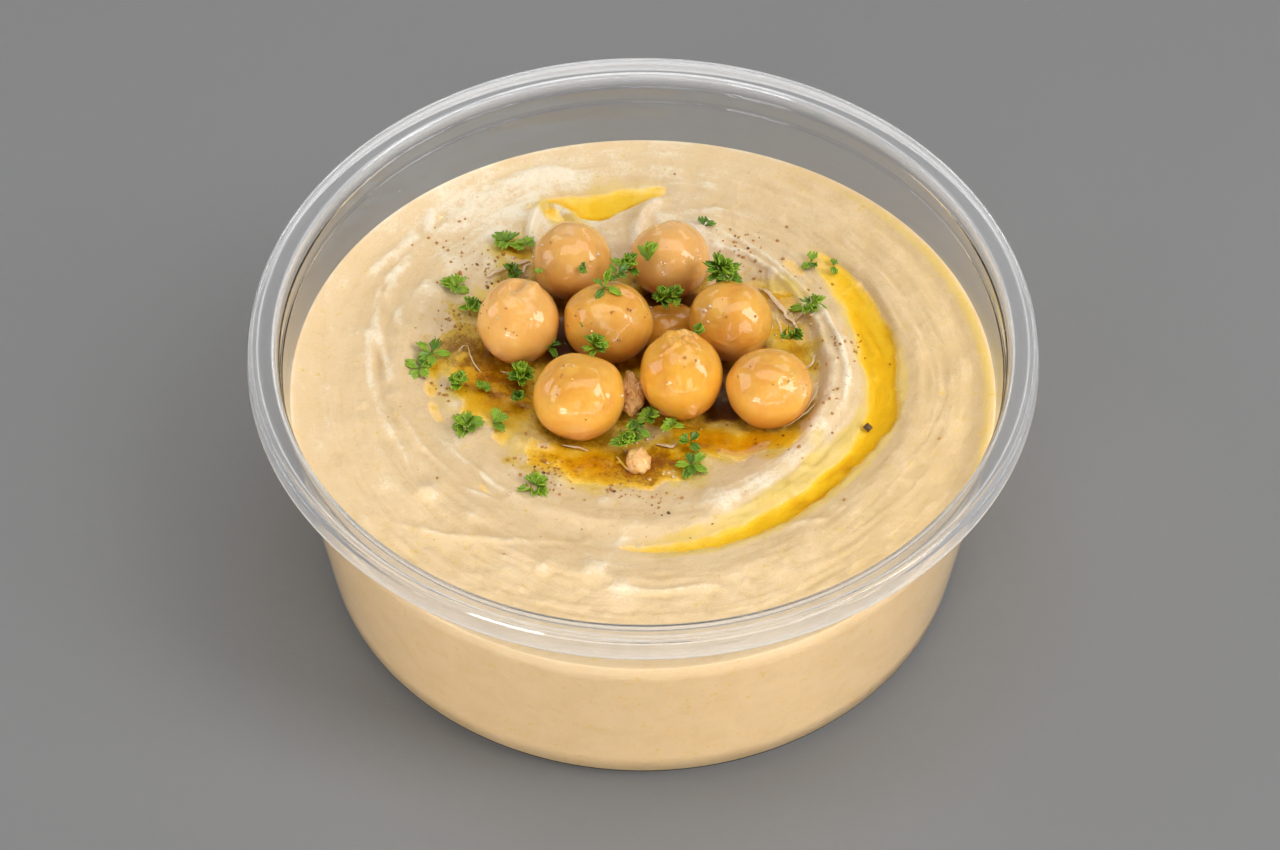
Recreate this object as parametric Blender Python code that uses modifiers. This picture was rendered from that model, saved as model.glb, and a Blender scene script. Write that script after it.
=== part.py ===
"""A clear round tub of hummus, dressed with whole chickpeas.

Metres, +Z up. The origin is the middle of the tub's base, on the surface that
it stands on, and the front of the tub faces -Y. The hummus is one solid up to
its swirled top. Every chickpea and every larger piece of chickpea is a solid of
its own, which sits in a seat pressed into the hummus.
"""

import math

import bmesh
import bpy
from mathutils import Euler, Matrix, Vector

MM = 0.001

# Every turned shape has this many sides.
TURN_STEPS = 60
MERGE_DISTANCE = 0.02 * MM

# Gap between touching pieces.
CONTACT_GAP = 0.3 * MM

# Tub: the radii are those of the face that the hummus sees.
TUB_HEIGHT = 44.4 * MM
TUB_WALL = 0.45 * MM
WALL_BASE_RADIUS = 48.05 * MM
WALL_SLOPE = 0.1388
FLOOR_RADIUS = 44.6 * MM
FLOOR_TOP = 1.45 * MM
FOOT_INNER_RADIUS = 45.4 * MM
FOOT_OUTER_RADIUS = 47.3 * MM
STACK_RING_Z = 38.7 * MM
STACK_RING_STEP = 0.2 * MM
LID_SEAT_RADIUS = 53.9 * MM
LID_SEAT_Z = 41.86 * MM
LID_SEAT_STEP = 0.25 * MM
FLANGE_INNER_RADIUS = 54.6 * MM
FLANGE_OUTER_RADIUS = 56.8 * MM
FLANGE_DROP = 0.2 * MM
LIP_RADIUS = 57.4 * MM
RIM_RADIUS = 58.5 * MM
SKIRT_TOP_RADIUS = 58.15 * MM
SKIRT_TOP_DROP = 0.75 * MM
SKIRT_BOTTOM_Z = 41.0 * MM

# Hummus: its top is level but for a lip that climbs the wall, highest at the
# tub's left and right, and for the swirl that a spoon has drawn round a point a
# little behind the tub's middle.
DIP_LEVEL = 30.9 * MM
DIP_WALL_Z = 31.3 * MM
DIP_SIDE_CLIMB = 1.6 * MM
DIP_LIP_WIDTH = 2.4 * MM
SWIRL_CENTRE = (0.8 * MM, 4.4 * MM)
GROOVE_RADIUS = 34.2 * MM
GROOVE_BULGE = 2.4 * MM
GROOVE_BULGE_ANGLE = math.radians(-6)
GROOVE_BULGE_SPREAD = math.radians(24)
HOLLOW_CENTRE = (-0.3 * MM, 8.0 * MM)
HOLLOW_RADIUS = 25.0 * MM
HOLLOW_DEPTH = 1.7 * MM
FINE_RING_SPACING = 1.9 * MM
FINE_RING_LIMIT = 26.0 * MM
COARSE_RING_SPACING = 2.35 * MM

# Circular strokes round the swirl's centre: radius from the groove, height,
# half-width, direction of the middle of the stroke in degrees from +X, and the
# half-angle over which it fades.
SWIRL_STROKES = (
    (0.0 * MM, -1.7 * MM, 1.9 * MM, -5, 62),
    (0.0 * MM, -0.9 * MM, 1.6 * MM, 100, 30),
    (0.0 * MM, -0.7 * MM, 1.8 * MM, -80, 45),
    (-5.0 * MM, 2.0 * MM, 2.3 * MM, -2, 55),
    (4.6 * MM, 0.8 * MM, 2.0 * MM, 5, 60),
    (9.5 * MM, 0.7 * MM, 2.1 * MM, 30, 60),
    (-3.6 * MM, 1.0 * MM, 2.0 * MM, -95, 38),
    (6.5 * MM, 0.8 * MM, 2.2 * MM, -95, 60),
    (3.5 * MM, 1.3 * MM, 1.9 * MM, 188, 42),
    (-1.5 * MM, -0.8 * MM, 1.5 * MM, 186, 40),
    (8.8 * MM, 0.9 * MM, 2.1 * MM, 165, 55),
)

# Peaks that the spoon left: place, height and half-width.
DIP_PEAKS = (
    (-16.1 * MM, 35.6 * MM, 2.6 * MM, 1.9 * MM),
    (2.6 * MM, 36.0 * MM, 2.0 * MM, 2.6 * MM),
    (9.5 * MM, 34.0 * MM, 1.6 * MM, 3.0 * MM),
    (-15.4 * MM, 44.0 * MM, 1.3 * MM, 3.2 * MM),
    (-31.2 * MM, -20.6 * MM, 1.2 * MM, 1.7 * MM),
    (-3.5 * MM, -38.5 * MM, 0.9 * MM, 2.6 * MM),
)

# Chickpeas: centre, size across, deep and high, and the turn about X, Y and Z in
# degrees that points the beak, which starts straight up.
CHICKPEAS = {
    "chickpea_back_left": ((-10.9, 23.4, 34.1), (12.3, 12.2, 12.0), (64, 0, 205)),
    "chickpea_back_right": ((4.1, 24.1, 34.1), (12.1, 12.3, 12.0), (38, 0, 20)),
    "chickpea_left": ((-18.9, 11.0, 34.0), (12.4, 13.0, 12.8), (30, 0, 200)),
    "chickpea_centre": ((-5.2, 10.8, 34.1), (13.4, 12.7, 12.4), (70, 0, 250)),
    "chickpea_right": ((13.2, 11.4, 34.1), (12.7, 12.4, 12.4), (76, 0, 150)),
    "chickpea_front_left": ((-9.5, -4.2, 34.2), (13.7, 13.2, 12.8), (58, 0, 118)),
    "chickpea_front_middle": ((5.7, -0.3, 34.8), (12.4, 13.2, 13.1), (30, 0, 200)),
    "chickpea_front_right": ((18.9, -2.2, 34.1), (12.8, 12.1, 12.1), (78, 0, 268)),
    "chickpea_sunk": ((4.1, 14.2, 27.9), (10.6, 10.0, 9.6), (20, 0, 20)),
}
CHICKPEA_SIDES = 14
CHICKPEA_RINGS = 10
BEAK_HEIGHT = 0.15
BEAK_SPREAD = 0.34
FURROW_DEPTH = 0.07
FURROW_WIDTH = 0.22

# Broken pieces of chickpea: centre, size and turn as above.
CHICKPEA_PIECES = {
    "chickpea_piece_middle": ((-1.7, -1.3, 31.6), (3.9, 6.6, 4.6), (0, 8, 8)),
    "chickpea_piece_front": ((-0.6, -13.2, 30.3), (3.6, 4.6, 3.2), (0, 0, -30)),
}
PIECE_SIDES = 10
PIECE_RINGS = 7
PIECE_WRINKLE = 0.08


def clear_scene():
    """Remove whatever the start-up scene holds."""
    for item in list(bpy.data.objects):
        bpy.data.objects.remove(item, do_unlink=True)


def new_collection(name):
    """Return a new collection linked to the scene."""
    collection = bpy.data.collections.new(name)
    bpy.context.scene.collection.children.link(collection)
    return collection


def new_material(name, color, roughness, alpha=1.0, transmission=0.0):
    """Return a Principled material; color is linear RGB."""
    material = bpy.data.materials.new(name)
    material.use_nodes = True
    shader = material.node_tree.nodes["Principled BSDF"]
    shader.inputs["Base Color"].default_value = (*color, 1.0)
    shader.inputs["Roughness"].default_value = roughness
    shader.inputs["Metallic"].default_value = 0.0
    shader.inputs["Alpha"].default_value = alpha
    shader.inputs["Transmission Weight"].default_value = transmission
    material.diffuse_color = (*color, alpha)
    return material


def add_object(name, mesh, collection, material):
    """Link a mesh to a collection as a new object with one material."""
    item = bpy.data.objects.new(name, mesh)
    collection.objects.link(item)
    mesh.materials.append(material)
    return item


def wall_radius(z):
    """Radius of the tub's inner face at height z, below its stacking ring."""
    return WALL_BASE_RADIUS + WALL_SLOPE * z


def tub_profile():
    """Radius and height along the tub's inner and upper face, floor to skirt."""
    flange_z = TUB_HEIGHT - FLANGE_DROP
    ring_radius = wall_radius(STACK_RING_Z)
    return [
        (0.0, FLOOR_TOP),
        (FLOOR_RADIUS, FLOOR_TOP),
        (FOOT_INNER_RADIUS, TUB_WALL),
        (FOOT_OUTER_RADIUS, TUB_WALL),
        (wall_radius(FLOOR_TOP), FLOOR_TOP),
        (ring_radius, STACK_RING_Z),
        (ring_radius + STACK_RING_STEP, STACK_RING_Z + STACK_RING_STEP),
        (LID_SEAT_RADIUS - LID_SEAT_STEP, LID_SEAT_Z - LID_SEAT_STEP),
        (LID_SEAT_RADIUS, LID_SEAT_Z),
        (FLANGE_INNER_RADIUS - 2 * FLANGE_DROP, flange_z - 2 * FLANGE_DROP),
        (FLANGE_INNER_RADIUS, flange_z),
        (FLANGE_OUTER_RADIUS, flange_z),
        (LIP_RADIUS, TUB_HEIGHT),
        ((LIP_RADIUS + SKIRT_TOP_RADIUS) / 2, TUB_HEIGHT - FLANGE_DROP / 2),
        (SKIRT_TOP_RADIUS, TUB_HEIGHT - SKIRT_TOP_DROP),
        (RIM_RADIUS, SKIRT_BOTTOM_Z),
    ]


def build_tub(collection, material):
    """Turn the tub's upper face about Z and thicken it downwards and outwards."""
    mesh = bpy.data.meshes.new("tub")
    points = [(radius, 0.0, z) for radius, z in tub_profile()]
    edges = [(i, i + 1) for i in range(len(points) - 1)]
    mesh.from_pydata(points, edges, [])
    tub = add_object("tub", mesh, collection, material)

    turn = tub.modifiers.new("Turn", "SCREW")
    turn.axis = "Z"
    turn.angle = math.tau
    turn.steps = TURN_STEPS
    turn.render_steps = TURN_STEPS
    turn.use_merge_vertices = True
    turn.merge_threshold = MERGE_DISTANCE

    wall = tub.modifiers.new("Wall", "SOLIDIFY")
    wall.thickness = TUB_WALL
    wall.offset = -1.0
    wall.use_even_offset = True
    wall.use_quality_normals = True
    return tub


def bump(distance, half_width):
    """Smooth hump: 1 at the middle, falling to nothing over two half-widths."""
    return math.exp(-((distance / half_width) ** 2))


def angle_between(a, b):
    """Smallest turn between two directions, in radians."""
    return abs((a - b + math.pi) % math.tau - math.pi)


def groove_radius(direction):
    """Radius of the spoon's groove, which swings wide on the tub's right."""
    swing = angle_between(direction, GROOVE_BULGE_ANGLE)
    return GROOVE_RADIUS + GROOVE_BULGE * bump(swing, GROOVE_BULGE_SPREAD)


def dip_height(x, y):
    """Height of the hummus's top over a point of the tub's floor."""
    from_middle = math.hypot(x, y)
    sideways = (x / max(from_middle, MM)) ** 2
    lip = bump(wall_radius(DIP_WALL_Z) - from_middle, DIP_LIP_WIDTH)
    height = DIP_LEVEL + lip * (DIP_WALL_Z + DIP_SIDE_CLIMB * sideways - DIP_LEVEL)

    across, along = x - SWIRL_CENTRE[0], y - SWIRL_CENTRE[1]
    radius = math.hypot(across, along)
    direction = math.atan2(along, across)
    groove = groove_radius(direction)
    for offset, rise, half_width, middle, reach in SWIRL_STROKES:
        swing = angle_between(direction, math.radians(middle))
        fade = bump(swing, math.radians(reach))
        stroke = bump(radius - groove - offset, half_width)
        height += rise * fade * stroke * (1.0 - lip)

    from_hollow = math.hypot(x - HOLLOW_CENTRE[0], y - HOLLOW_CENTRE[1])
    height -= HOLLOW_DEPTH * math.exp(-((from_hollow / HOLLOW_RADIUS) ** 4))

    for peak_x, peak_y, rise, half_width in DIP_PEAKS:
        height += rise * bump(math.hypot(x - peak_x, y - peak_y), half_width)
    return height


def dip_ring_radii(edge_radius):
    """Radii of the rings of points on the top, closer together in the middle."""
    radii = [0.0]
    while radii[-1] < edge_radius - 1.5 * COARSE_RING_SPACING:
        fine = radii[-1] < FINE_RING_LIMIT
        radii.append(radii[-1] + (FINE_RING_SPACING if fine else COARSE_RING_SPACING))
    radii.append(edge_radius)
    return radii


def build_hummus(collection, material, cutters):
    """Turn the block that fills the tub, shape its top and press the seats."""
    top_radius = wall_radius(DIP_WALL_Z) - CONTACT_GAP
    floor_z = FLOOR_TOP + CONTACT_GAP
    profile = [(radius, DIP_WALL_Z) for radius in dip_ring_radii(top_radius)]
    profile += [(wall_radius(floor_z) - CONTACT_GAP, floor_z), (0.0, floor_z)]

    shape = bmesh.new()
    points = [shape.verts.new((radius, 0.0, z)) for radius, z in profile]
    edges = [shape.edges.new(pair) for pair in zip(points, points[1:])]
    bmesh.ops.spin(
        shape,
        geom=points + edges,
        cent=(0, 0, 0),
        axis=(0, 0, 1),
        angle=math.tau,
        steps=TURN_STEPS,
    )
    bmesh.ops.remove_doubles(shape, verts=shape.verts, dist=MERGE_DISTANCE)
    bmesh.ops.recalc_face_normals(shape, faces=shape.faces)
    for point in shape.verts:
        if point.co.z > DIP_WALL_Z - MERGE_DISTANCE:
            point.co.z = dip_height(point.co.x, point.co.y)

    mesh = bpy.data.meshes.new("hummus")
    shape.to_mesh(mesh)
    shape.free()
    hummus = add_object("hummus", mesh, collection, material)
    seats = hummus.modifiers.new("Seats", "BOOLEAN")
    seats.operation = "DIFFERENCE"
    seats.operand_type = "COLLECTION"
    seats.collection = cutters
    seats.solver = "EXACT"
    return hummus


def chickpea_swell(direction):
    """Radius of a chickpea of radius 1 along a unit vector; the beak is at +Z."""
    from_beak = math.acos(max(-1.0, min(1.0, direction.z)))
    swell = 1.0 + BEAK_HEIGHT * bump(from_beak, BEAK_SPREAD)
    back = max(0.0, direction.y) * math.sin(from_beak)
    return swell - FURROW_DEPTH * back * bump(direction.x, FURROW_WIDTH)


def piece_swell(direction):
    """Radius of a broken, wrinkled piece of radius 1 along a unit vector."""
    wave = math.sin(5 * direction.x + 2) * math.cos(6 * direction.y + 4 * direction.z)
    return 1.0 + PIECE_WRINKLE * wave


def rounded_mesh(name, place, sides, rings, swell, grow=0.0):
    """A swollen ball: place holds its centre, size and turn; grow adds a skin."""
    centre, size, turn = place
    turned = Euler([math.radians(a) for a in turn]).to_matrix()
    shape = bmesh.new()
    bmesh.ops.create_uvsphere(shape, u_segments=sides, v_segments=rings, radius=1.0)
    for point in shape.verts:
        outward = turned @ (point.co * swell(point.co.normalized()))
        reach = Vector(size) * MM / 2 + Vector((grow, grow, grow))
        point.co = outward * reach
    bmesh.ops.translate(shape, verts=shape.verts, vec=Vector(centre) * MM)
    bmesh.ops.recalc_face_normals(shape, faces=shape.faces)
    mesh = bpy.data.meshes.new(name)
    shape.to_mesh(mesh)
    shape.free()
    mesh.shade_smooth()
    return mesh


def build_toppings(places, sides, rings, swell, collection, cutters, material):
    """Make each topping, and a hidden cutter a gap larger for its seat."""
    for name, place in places.items():
        mesh = rounded_mesh(name, place, sides, rings, swell)
        add_object(name, mesh, collection, material)
        seat = rounded_mesh(name + "_seat", place, sides, rings, swell, CONTACT_GAP)
        cutter = add_object(name + "_seat", seat, cutters, material)
        cutter.hide_render = True
        cutter.display_type = "WIRE"


def main():
    clear_scene()
    parts = new_collection("hummus_tub")
    cutters = new_collection("cutters")
    clear = new_material("clear_plastic", (0.9, 0.91, 0.92), 0.06, 0.3)
    dip = new_material("hummus", (0.78, 0.58, 0.33), 0.45)
    pea = new_material("chickpea", (0.72, 0.37, 0.1), 0.25)
    build_tub(parts, clear)
    build_toppings(
        CHICKPEAS, CHICKPEA_SIDES, CHICKPEA_RINGS, chickpea_swell, parts, cutters, pea
    )
    build_toppings(
        CHICKPEA_PIECES, PIECE_SIDES, PIECE_RINGS, piece_swell, parts, cutters, pea
    )
    build_hummus(parts, dip, cutters)


main()
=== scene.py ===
"""Looks of a clear tub of hummus topped with chickpeas, oil, parsley and spice.

Shapes are worked out in millimetres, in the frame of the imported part, and
become metres when a mesh is made.
"""

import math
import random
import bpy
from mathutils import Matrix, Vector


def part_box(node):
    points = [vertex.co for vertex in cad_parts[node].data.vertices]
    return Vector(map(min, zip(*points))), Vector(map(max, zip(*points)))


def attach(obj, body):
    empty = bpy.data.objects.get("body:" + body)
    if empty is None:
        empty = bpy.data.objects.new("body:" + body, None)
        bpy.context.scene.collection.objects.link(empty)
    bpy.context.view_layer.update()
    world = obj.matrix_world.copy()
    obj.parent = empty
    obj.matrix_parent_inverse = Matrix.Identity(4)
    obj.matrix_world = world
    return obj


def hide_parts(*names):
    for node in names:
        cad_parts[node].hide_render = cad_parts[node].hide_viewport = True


bl_info = {
    "name": "Tub of Hummus with Chickpeas",
    "version": (1, 0, 0),
    "blender": (4, 5, 0),
    "location": "3D View > Sidebar > Hummus",
    "description": "Builds a clear tub of hummus with chickpeas, oil and herbs",
    "category": "Add Mesh",
}

import bpy
import numpy as np
from bpy.props import FloatProperty, FloatVectorProperty, PointerProperty
from mathutils import Euler, Matrix, Vector, noise

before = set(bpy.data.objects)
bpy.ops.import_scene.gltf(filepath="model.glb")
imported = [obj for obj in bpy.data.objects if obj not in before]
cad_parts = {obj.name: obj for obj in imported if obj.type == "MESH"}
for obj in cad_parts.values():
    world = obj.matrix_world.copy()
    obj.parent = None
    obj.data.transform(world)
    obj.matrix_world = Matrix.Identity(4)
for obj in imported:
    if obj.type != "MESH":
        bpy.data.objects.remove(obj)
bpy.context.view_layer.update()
TUB_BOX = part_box("tub")

MM = 0.001

# Tub: a turned sheet of clear plastic, millimetres.
TUB_HEIGHT = TUB_BOX[1].z / MM
TUB_WALL = 0.45
WALL_BASE_RADIUS = 48.05
WALL_SLOPE = 0.1388
FLOOR_RADIUS = 44.6
FLOOR_TOP = 1.45
FOOT_INNER_RADIUS = 45.4
FOOT_OUTER_RADIUS = 47.3
STACK_RING_Z = 38.7
STACK_RING_STEP = 0.2
LID_SEAT_RADIUS = 53.9
LID_SEAT_Z = 41.86
LID_SEAT_STEP = 0.25
FLANGE_INNER_RADIUS = 54.6
FLANGE_OUTER_RADIUS = 56.8
FLANGE_DROP = 0.2
FLANGE_DISH = 0.16
LIP_RADIUS = 57.4
RIM_RADIUS = TUB_BOX[1].x / MM
SKIRT_TOP_RADIUS = 58.15
SKIRT_TOP_DROP = 0.75
SKIRT_BOTTOM_Z = 41.0
TUB_STEPS = 256
CORNER_STEPS = 5

# Hummus: level, edge and the spoon's swirl.
DIP_LEVEL = 30.9
DIP_WALL_Z = 31.3
DIP_SIDE_CLIMB = 1.6
DIP_LIP_WIDTH = 2.4
WALL_BITE = 0.2
SWIRL_CENTRE = (0.8, 4.4)
GROOVE_RADIUS = 34.2
GROOVE_BULGE = 2.4
GROOVE_BULGE_ANGLE = math.radians(-6)
GROOVE_BULGE_SPREAD = math.radians(24)
HOLLOW_CENTRE = (-0.3, 8.0)
HOLLOW_RADIUS = 25.0
HOLLOW_DEPTH = 1.7
DIP_GRID = 280
SIDE_ROWS = 8

# Spoon strokes round the swirl: offset from the groove, rise, half-width
# inwards, half-width outwards, middle and reach in degrees.
STROKES = (
    (0.3, -0.6, 1.9, 1.0, -95, 30),
    (-7.3, 1.8, 2.7, 2.3, -4, 55),
    (4.6, 0.6, 2.0, 2.4, 5, 60),
    (9.5, 0.6, 2.1, 2.1, 30, 60),
    (-3.6, 0.9, 2.4, 2.0, -95, 38),
    (6.5, 0.6, 2.2, 2.2, -95, 60),
    (3.5, 1.1, 1.9, 1.6, 188, 42),
    (-1.5, -0.7, 1.5, 1.5, 186, 40),
    (8.8, 0.7, 2.1, 2.1, 165, 55),
)

# Trenches that hold oil: direction in degrees, inner and outer edge outside the
# groove's middle, and depth.
GROOVE = (
    (-103, 0.3, 0.5, 0.0), (-90, -0.2, 0.6, 0.3), (-72, -0.7, 0.8, 0.7), (-57, -0.7, 0.8, 0.95),
    (-42, -0.6, 0.7, 1.1), (-30, -0.4, 0.4, 1.15), (-20, -0.7, 1.0, 1.15), (-14, -1.1, 1.5, 1.1),
    (-4, -2.2, 0.1, 1.05), (4, -3.2, 0.9, 1.1), (11, -2.2, 1.8, 1.05), (18, -1.3, 2.6, 0.95),
    (30, 0.3, 2.6, 0.7), (40, 0.8, 1.8, 0.3), (48, 1.0, 1.2, 0.0),
)
BACK_TRENCH = (
    (83, 3.3, 4.4, 0.0), (86, 2.8, 4.2, 0.35), (89, 2.0, 4.0, 0.6), (93, 1.1, 3.7, 0.8),
    (98, -0.4, 3.0, 1.0), (103, -1.2, 2.8, 1.1), (107, -0.8, 2.9, 1.0), (111, 0.4, 3.3, 0.7),
    (115, 2.5, 3.8, 0.3), (119, 3.0, 3.6, 0.0),
)

# Torn peaks and dimples: place, rise and half-width.
PEAKS = (
    (-16.1, 35.6, 0.4, 2.0),
    (2.6, 36.0, 0.7, 2.6),
    (9.5, 34.0, 1.2, 3.0),
    (-15.4, 44.0, 1.1, 3.2),
    (-31.2, -20.6, 1.2, 1.5),
    (-14.6, -34.4, 0.6, 1.1),
    (-7.4, -34.8, 0.6, 1.6),
    (-5.5, -21.6, 0.5, 1.2),
    (11.1, -22.1, 0.8, 2.6),
    (-3.5, -38.5, 0.5, 2.4),
    (-25.0, 5.0, -0.7, 6.0),
    (-20.0, -9.0, -0.5, 4.5),
    (-9.0, -13.5, -0.7, 4.5),
    (-1.0, -14.0, -0.6, 5.0),
    (9.0, -8.5, -0.8, 3.4),
    (16.5, -9.5, -0.8, 2.6),
    (22.0, 14.0, -0.6, 3.5),
    (16.0, 22.0, -0.5, 3.0),
    (-22.0, 22.0, -0.5, 3.0),
    (-3.0, 30.0, -0.4, 2.5),
    (11.8, -20.9, 0.35, 2.2),
    (17.6, -17.6, 0.3, 2.4),
    (-6.2, -34.7, 0.3, 1.8),
    (-32.0, -19.5, 0.3, 1.8),
    (-25.1, -24.7, 0.25, 1.6),
    (24.2, -32.8, 0.25, 2.0),
    (6.9, -39.4, 0.25, 2.0),
    (8.8, -12.6, 0.7, 1.6),
    (-12.1, -16.8, 0.6, 1.5),
    (-18.0, -9.3, 0.5, 1.9),
    (-31.5, 13.0, 0.5, 2.6),
    (-28.0, -2.6, 0.35, 1.3),
    (-27.6, -10.4, 0.3, 2.0),
)

# Raised folds that the spoon pulled up: rise, half-width, path.
FOLDS = (
    (0.9, 0.8, ((-33.1, 36.6), (-33.3, 32.5))),
    (0.9, 1.0, ((-35.9, 30.8), (-37.9, 28.4), (-41.3, 24.2))),
    (0.7, 0.9, ((-36.4, 26.1), (-38.7, 22.2), (-39.0, 17.4))),
    (0.5, 0.8, ((-37.4, 16.1), (-37.2, 12.7))),
    (0.55, 0.65, ((-40.5, 20.2), (-40.7, 12.6), (-39.0, 6.0), (-37.8, 1.4))),
    (0.55, 0.7, ((-41.7, 10.7), (-40.9, 1.4), (-38.5, -6.7), (-34.7, -14.3))),
    (0.35, 0.5, ((-36.4, -5.3), (-32.8, -11.6), (-28.2, -16.5))),
    (0.3, 0.5, ((-30.9, -8.8), (-25.9, -14.2), (-22.1, -18.2), (-17.0, -21.5))),
    (0.5, 1.2, ((-22.1, 42.5), (-17.0, 44.6), (-12.4, 45.0))),
    (0.3, 0.5, ((-36.1, -25.8), (-28.0, -28.6), (-20.2, -29.4), (-7.6, -29.3))),
    (0.35, 0.5, ((-26.9, -19.0), (-20.4, -21.7))),
    (0.4, 0.6, ((21.6, -26.1), (26.3, -25.0))),
    (0.3, 0.5, ((-6.0, -38.2), (3.2, -38.7), (12.0, -37.0))),
    (0.55, 0.45, ((9.7, 33.8), (15.1, 31.2), (20.7, 26.0), (24.3, 20.6), (27.5, 15.6),
                  (29.6, 9.3), (30.8, 3.1), (30.2, -3.5))),
    (0.5, 0.5, ((10.8, 30.2), (16.0, 28.3), (19.7, 24.8), (22.9, 20.3), (26.7, 12.4),
                (27.3, 6.3))),
    (0.6, 1.0, ((26.8, 10.9), (28.2, 5.0), (27.8, -2.0), (24.5, -9.0))),
    (0.4, 0.8, ((6.1, 37.0), (11.3, 37.7), (17.0, 36.0))),
    (1.5, 0.8, ((-17.6, 30.8), (-17.3, 33.4), (-16.7, 35.8), (-15.9, 38.4))),
    (1.1, 0.8, ((-15.9, 38.4), (-13.0, 37.5), (-11.5, 36.5), (-10.5, 35.2))),
    (1.3, 1.1, ((-1.6, 31.6), (-0.6, 35.0), (0.4, 37.4), (1.8, 39.2))),
)

# Chickpeas: centre, size, and turns about X, Y and Z; the beak starts at +Z.
CHICKPEAS = {
    "chickpea_back_left": ((-10.9, 23.4, 34.1), (12.3, 12.2, 12.0), (64, 0, 205)),
    "chickpea_back_right": ((4.1, 24.1, 34.1), (12.1, 12.3, 12.0), (38, 0, 20)),
    "chickpea_left": ((-18.9, 11.0, 34.0), (12.4, 13.0, 12.8), (30, 0, 200)),
    "chickpea_centre": ((-5.2, 10.8, 34.1), (13.4, 12.7, 12.4), (70, 0, 250)),
    "chickpea_right": ((13.2, 11.4, 34.1), (12.7, 12.4, 12.4), (76, 0, 150)),
    "chickpea_front_left": ((-9.5, -4.2, 34.2), (13.7, 13.2, 12.8), (58, 0, 118)),
    "chickpea_front_middle": ((5.7, -0.3, 34.8), (12.4, 13.2, 13.1), (30, 0, 200)),
    "chickpea_front_right": ((18.9, -2.2, 34.1), (12.8, 12.1, 12.1), (78, 0, 268)),
    "chickpea_sunk": ((4.1, 14.2, 27.9), (10.6, 10.0, 9.6), (20, 0, 20)),
}
PEA_SIDES, PEA_RINGS = 144, 98
PIECE_SIDES, PIECE_RINGS = 96, 64
BEAK_HEIGHT = 0.05
BEAK_SPREAD = 0.3
FURROW_DEPTH = 0.05
FURROW_WIDTH = 0.22
CHICKPEA_PIECES = {
    "chickpea_piece_middle": ((-1.7, -1.3, 31.6), (3.9, 6.6, 4.6), (0, 8, 8)),
    "chickpea_piece_front": ((-0.6, -13.2, 30.3), (3.6, 4.6, 3.2), (0, 0, -30)),
}

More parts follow.
